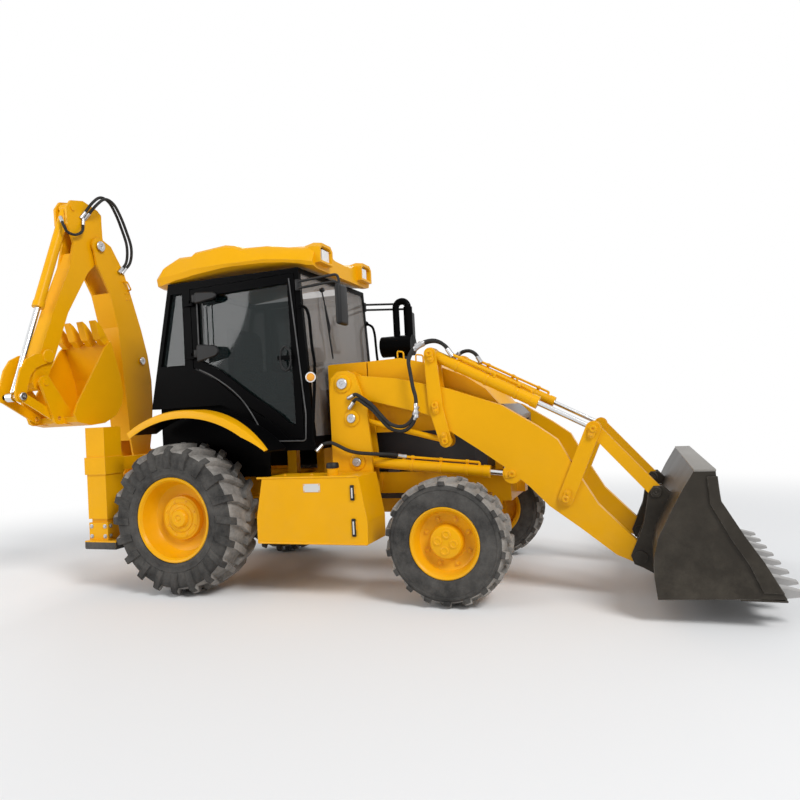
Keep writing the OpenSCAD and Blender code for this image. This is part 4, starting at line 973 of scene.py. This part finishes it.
hose_rubber = rubber("hose_rubber", (0.012, 0.012, 0.012), (0.045, 0.043, 0.040), grain=220.0)
for way, side in (("right", -1), ("left", 1)):
    for k, inward, drop in ((1, 0.0, 0.0), (2, 0.004, -0.038)):
        shift, fall = Vector((0, -side * inward, 0)), Vector((0, 0, drop))
        (x, z), *others = LOADER_LOOP
        points = [Vector((x, side * TOWER_END, z)) + fall * 2]
        points += [Vector((x, side * ARM_LINE, z)) + shift + fall for x, z in others]
        hose(f"arm_hose_{way}_{k}", points, HOSE_RADIUS, ("machine", "loader_arms"))
        points = []
        for i, (x, y, z) in enumerate(LEVER_LOOP):
            points.append(Vector((x, side * y, z)) + shift + fall * (1 if i == 0 else 0.3))
        hose(f"lever_hose_{way}_{k}", points, HOSE_RADIUS, ("loader_arms", "rear_levers"))
        points = []
        for i, (x, y, z) in enumerate(RAM_LOOP):
            near, port = 1 - i / 4, Vector((0, side * RAM_PORTS * (k - 1) * i / 4, 0))
            points.append(Vector((x, side * y, z)) + shift * near + fall * 0.3 * near - port)
        hose(f"ram_hose_{way}_{k}", points, HOSE_RADIUS, ("rear_levers", "tilt_barrels"))
    points = [(x, side * y, z) for x, y, z in LIFT_LOOP]
    hose(f"lift_hose_{way}", points, HOSE_RADIUS, ("machine", "lift_barrels"))


# The loading bucket: rolled plate in dark brown-grey paint, with a hard edge along its lip and cast teeth.
# Side cutters are welded on, the top lip is a folded strip painted paler as a painted highlight where light
# falls on its top, and ground contact keeps the teeth bright.
BUCKET, BUCKET_WORN, LIP_HIGHLIGHT = (0.030, 0.025, 0.019), (0.2, 0.18, 0.16), (0.22, 0.205, 0.185)
BUCKET_HALF, TEETH = 1.134, 8
CUTTER = [
    (4.548, 0.232), (4.446, 0.425), (4.345, 0.588), (4.222, 0.802), (4.214, 0.960), (4.150, 0.958),
    (4.158, 0.782), (4.272, 0.560), (4.366, 0.400), (4.430, 0.232),
]
TOOTH = [  # place along the machine, half width, foot, top
    (4.520, 0.048, 0.176, 0.246), (4.575, 0.047, 0.179, 0.243), (4.640, 0.044, 0.188, 0.226),
    (4.696, 0.041, 0.1985, 0.2115),
]

bucket_paint = coated("bucket_paint", BUCKET, 0.42, peel=0.06, gloss=0.0, dust=0.12, dust_top=1.2, edge=0.6,
                      worn=BUCKET_WORN, sheen=0.18)
# The top lip's pale paint is a painted highlight.
lip_painted_highlight = coated("lip_painted_highlight", LIP_HIGHLIGHT, 0.5, gloss=0.0, dust=0.3, edge=0.3)
worn_steel = metal("worn_steel", (0.42, 0.41, 0.40), 0.42, 30.0)
dress(bucket_paint, "loader_bucket", "bucket_pins")
heads, cutters, top_lip, teeth = (bmesh.new() for _ in range(4))
for side in (-1, 1):
    for y, out in ((0.600, side), (0.460, -side)):
        pin_end(heads, (PIN_H[0], side * y, PIN_H[1]), (0, out, 0), 0.040)
    plate(cutters, side_outline(CUTTER), (0, side * BUCKET_HALF, 0), (0, side * 0.014, 0), 0.004)
slab(cutters, (4.30, -BUCKET_HALF, 0.178), (4.565, BUCKET_HALF, 0.190), 0.003)
slab(top_lip, (4.078, -1.136, 0.988), (4.208, 1.136, 1.004), 0.004)
for i in range(TEETH):
    y = (i + 0.5) * 2 * BUCKET_HALF / TEETH - BUCKET_HALF
    rows = []
    for x, half, foot, top in TOOTH:
        section = ((-1, foot), (-0.96, top - 0.003), (-0.8, top), (0.8, top), (0.96, top - 0.003), (1, foot))
        rows.append([(x, y + half * share, z) for share, z in section])
    skin(teeth, rows)
keep(heads, "bucket_pin_heads", "loader_bucket", bucket_paint)
keep(cutters, "bucket_cutters", "loader_bucket", bucket_paint)
keep(top_lip, "bucket_top_lip", "loader_bucket", lip_painted_highlight)
keep(teeth, "bucket_tooth_tips", "loader_bucket", worn_steel)


# The rear frame and its drop legs: square tubes in sleeves, pushed down by rams inside them.
# Each leg ends in a bolted collar and a rubber-faced foot.
LEG_OUT, COLLAR_OUT, COLLAR_FRONT = 0.885, 0.989, -0.766
FOOT_PAD = (-0.989, LEG_OUT - 0.153, 0.381), (-0.636, LEG_OUT + 0.153, 0.450)
COLLAR_BOLT, COLLAR_ROWS = 0.013, (0.490, 0.580)

dress(yellow_paint, "rear_frame", "swing_carriage", "stabilizer_right", "stabilizer_left")
foot_rubber = rubber("foot_rubber", (0.030, 0.029, 0.027), (0.125, 0.115, 0.105))
for way, side in (("right", -1), ("left", 1)):
    mesh = bmesh.new()
    side_slab(mesh, side, *FOOT_PAD, 0.012, 3)
    keep(mesh, f"foot_pad_{way}", f"stabilizer_{way}", foot_rubber)
    mesh = bmesh.new()
    for z in COLLAR_ROWS:
        for x in (-0.945, -0.795):
            bolt(mesh, (x, side * COLLAR_OUT, z), (0, side, 0), COLLAR_BOLT)
        for across in (-0.070, 0.070):
            bolt(mesh, (COLLAR_FRONT, side * LEG_OUT + across, z), (1, 0, 0), COLLAR_BOLT)
    keep(mesh, f"collar_bolts_{way}", f"stabilizer_{way}", bright_steel)


# The backhoe: a kingpost, a bent box boom, a dipper and a bucket, folded up across the rear for the road.
# The pins have turned steel heads; a pair of curved plates tips the bucket, and its teeth are painted over.
KING_X, KING_Y = -1.285, 0.200
HOE_WIDE, HOE_TEETH = 0.490, (-1.5, -0.5, 0.5, 1.5)
HOE_TOOTH = [  # reach, height, half width, half thickness
    (0.878, 2.330, 0.040, 0.036), (0.906, 2.390, 0.039, 0.032), (0.940, 2.450, 0.036, 0.018),
    (0.968, 2.484, 0.033, 0.006),
]
TIP_PLATE = [
    (1.330, 2.105), (1.366, 2.152), (1.420, 2.152), (1.505, 2.140), (1.600, 2.092), (1.664, 2.000),
    (1.712, 1.840), (1.722, 1.772), (1.706, 1.728), (1.668, 1.712), (1.632, 1.728), (1.614, 1.772),
    (1.592, 1.868), (1.560, 1.960), (1.505, 2.020), (1.430, 2.052), (1.352, 2.072),
]
TIP_PIVOT, TIP_PIN, TIP_PLATE_OUT = (1.368, 2.132), (1.668, 1.767), 0.085
BOOM_FACE = 0.120
BOOM_BOLTS = ((0.385, 2.840), (0.340, 2.845), (0.370, 2.780), (0.325, 2.785))


def hoe(reach, z, out=0.0):
    """A point of the folded arm: its reach, its height, and how far it stands from the arm's middle plane."""
    return Vector((KING_X + out, KING_Y - reach, z))


dress(yellow_paint, "kingpost", "boom", "boom_barrel", "dipper", "crowd_barrel", "tip_barrel")
dress(yellow_paint, "tip_levers", "tip_link", "hoe_bucket")
dress(chrome, "boom_rod", "crowd_rod", "tip_rod")
for name, body, places in (
    ("kingpost_pin_heads", "kingpost", (((0.250, 0.950), 0.142, 0.046),)),
    ("boom_pin_heads", "boom", (((0.715, 3.257), 0.134, 0.050), ((0.190, 2.150), 0.130, 0.038))),
):
    mesh = bmesh.new()
    for pin, out, size in places:
        for s in (-1, 1):
            pin_end(mesh, hoe(*pin, s * out), (s, 0, 0), size)
    keep(mesh, name, body, bright_steel)
mesh = bmesh.new()
for i in HOE_TEETH:
    middle = i * HOE_WIDE / 3.2
    rows = []
    for reach, z, half, thick in HOE_TOOTH:
        inner, outer = (reach - thick, z + 0.5 * thick), (reach + thick, z - 0.5 * thick)
        corners = ((inner, -half), (outer, -half), (outer, half), (inner, half))
        rows.append([hoe(*at, middle + across) for at, across in corners])
    skin(mesh, rows)
keep(mesh, "hoe_tooth_tips", "hoe_bucket", yellow_paint)
mesh, heads = bmesh.new(), bmesh.new()
for s in (-1, 1):
    plate(mesh, [hoe(*at) for at in TIP_PLATE], (s * TIP_PLATE_OUT, 0, 0), (s * 0.020, 0, 0), 0.003)
    turned(mesh, [(0.060, 0.0), (0.060, 0.006), (0.055, 0.010)], hoe(*TIP_PIVOT, s * 0.105), (s, 0, 0), 32)
    turned(mesh, [(0.022, 0.0), (0.022, 0.046)], hoe(*TIP_PIN, s * TIP_PLATE_OUT), (s, 0, 0), 32)
    pin_end(heads, hoe(*TIP_PIN, s * 0.129), (s, 0, 0), 0.034)
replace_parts(keep(mesh, "tip_lever_plates", "tip_levers", yellow_paint), "tip_levers")
keep(heads, "tip_lever_pin_heads", "tip_levers", bright_steel)
mesh = bmesh.new()
for at in BOOM_BOLTS:
    bolt(mesh, hoe(*at, BOOM_FACE), (1, 0, 0), 0.008)
bracket = [hoe(0.410, 2.955, BOOM_FACE), hoe(0.405, 2.960, 0.165), hoe(0.348, 2.880, 0.165)]
bracket.append(hoe(0.345, 2.878, BOOM_FACE))
tube(mesh, rounded_path(bracket, 0.02), 0.008, 10)
keep(mesh, "boom_bolts", "boom", yellow_paint)


# The backhoe's hoses: two rubber hoses loop over the boom's end to the dipper, one goes on to the tip ram.
# Their crimped ends screw into the boom's face, the dipper's side and the ram's barrel.
DIPPER_HOSE, TIP_HOSE, HOSE_APART = 0.014, 0.013, 0.045
OVER_BOOM = [
    (-0.172, 3.329), (-0.232, 3.485), (-0.314, 3.632), (-0.398, 3.725), (-0.505, 3.744), (-0.614, 3.665),
]
TIP_LOOP = [(-0.723, 3.368), (-0.805, 3.309), (-0.901, 3.310), (-0.946, 3.360)]
BOOM_PORT_X = -1.150

for k, x in ((0, -1.130), (1, -1.085)):
    line = [(BOOM_PORT_X, -0.262 + HOSE_APART * k, 3.060)]
    line.append((0.5 * (x + BOOM_PORT_X), -0.178 + 0.030 * k, 3.165))
    line += [(x, y + 0.012 * k, z - 0.020 * k) for y, z in OVER_BOOM]
    line.append((-1.192, -0.690 + HOSE_APART * k, 3.520))
    hose(f"dipper_hose_{k + 1}", line, DIPPER_HOSE, ("boom", "dipper"))
line = [(-1.190, -0.687, 3.472), *((-1.165, y, z) for y, z in TIP_LOOP), (-1.225, -0.915, 3.440)]
hose("tip_hose", line, TIP_HOSE, ("dipper", "tip_barrel"))
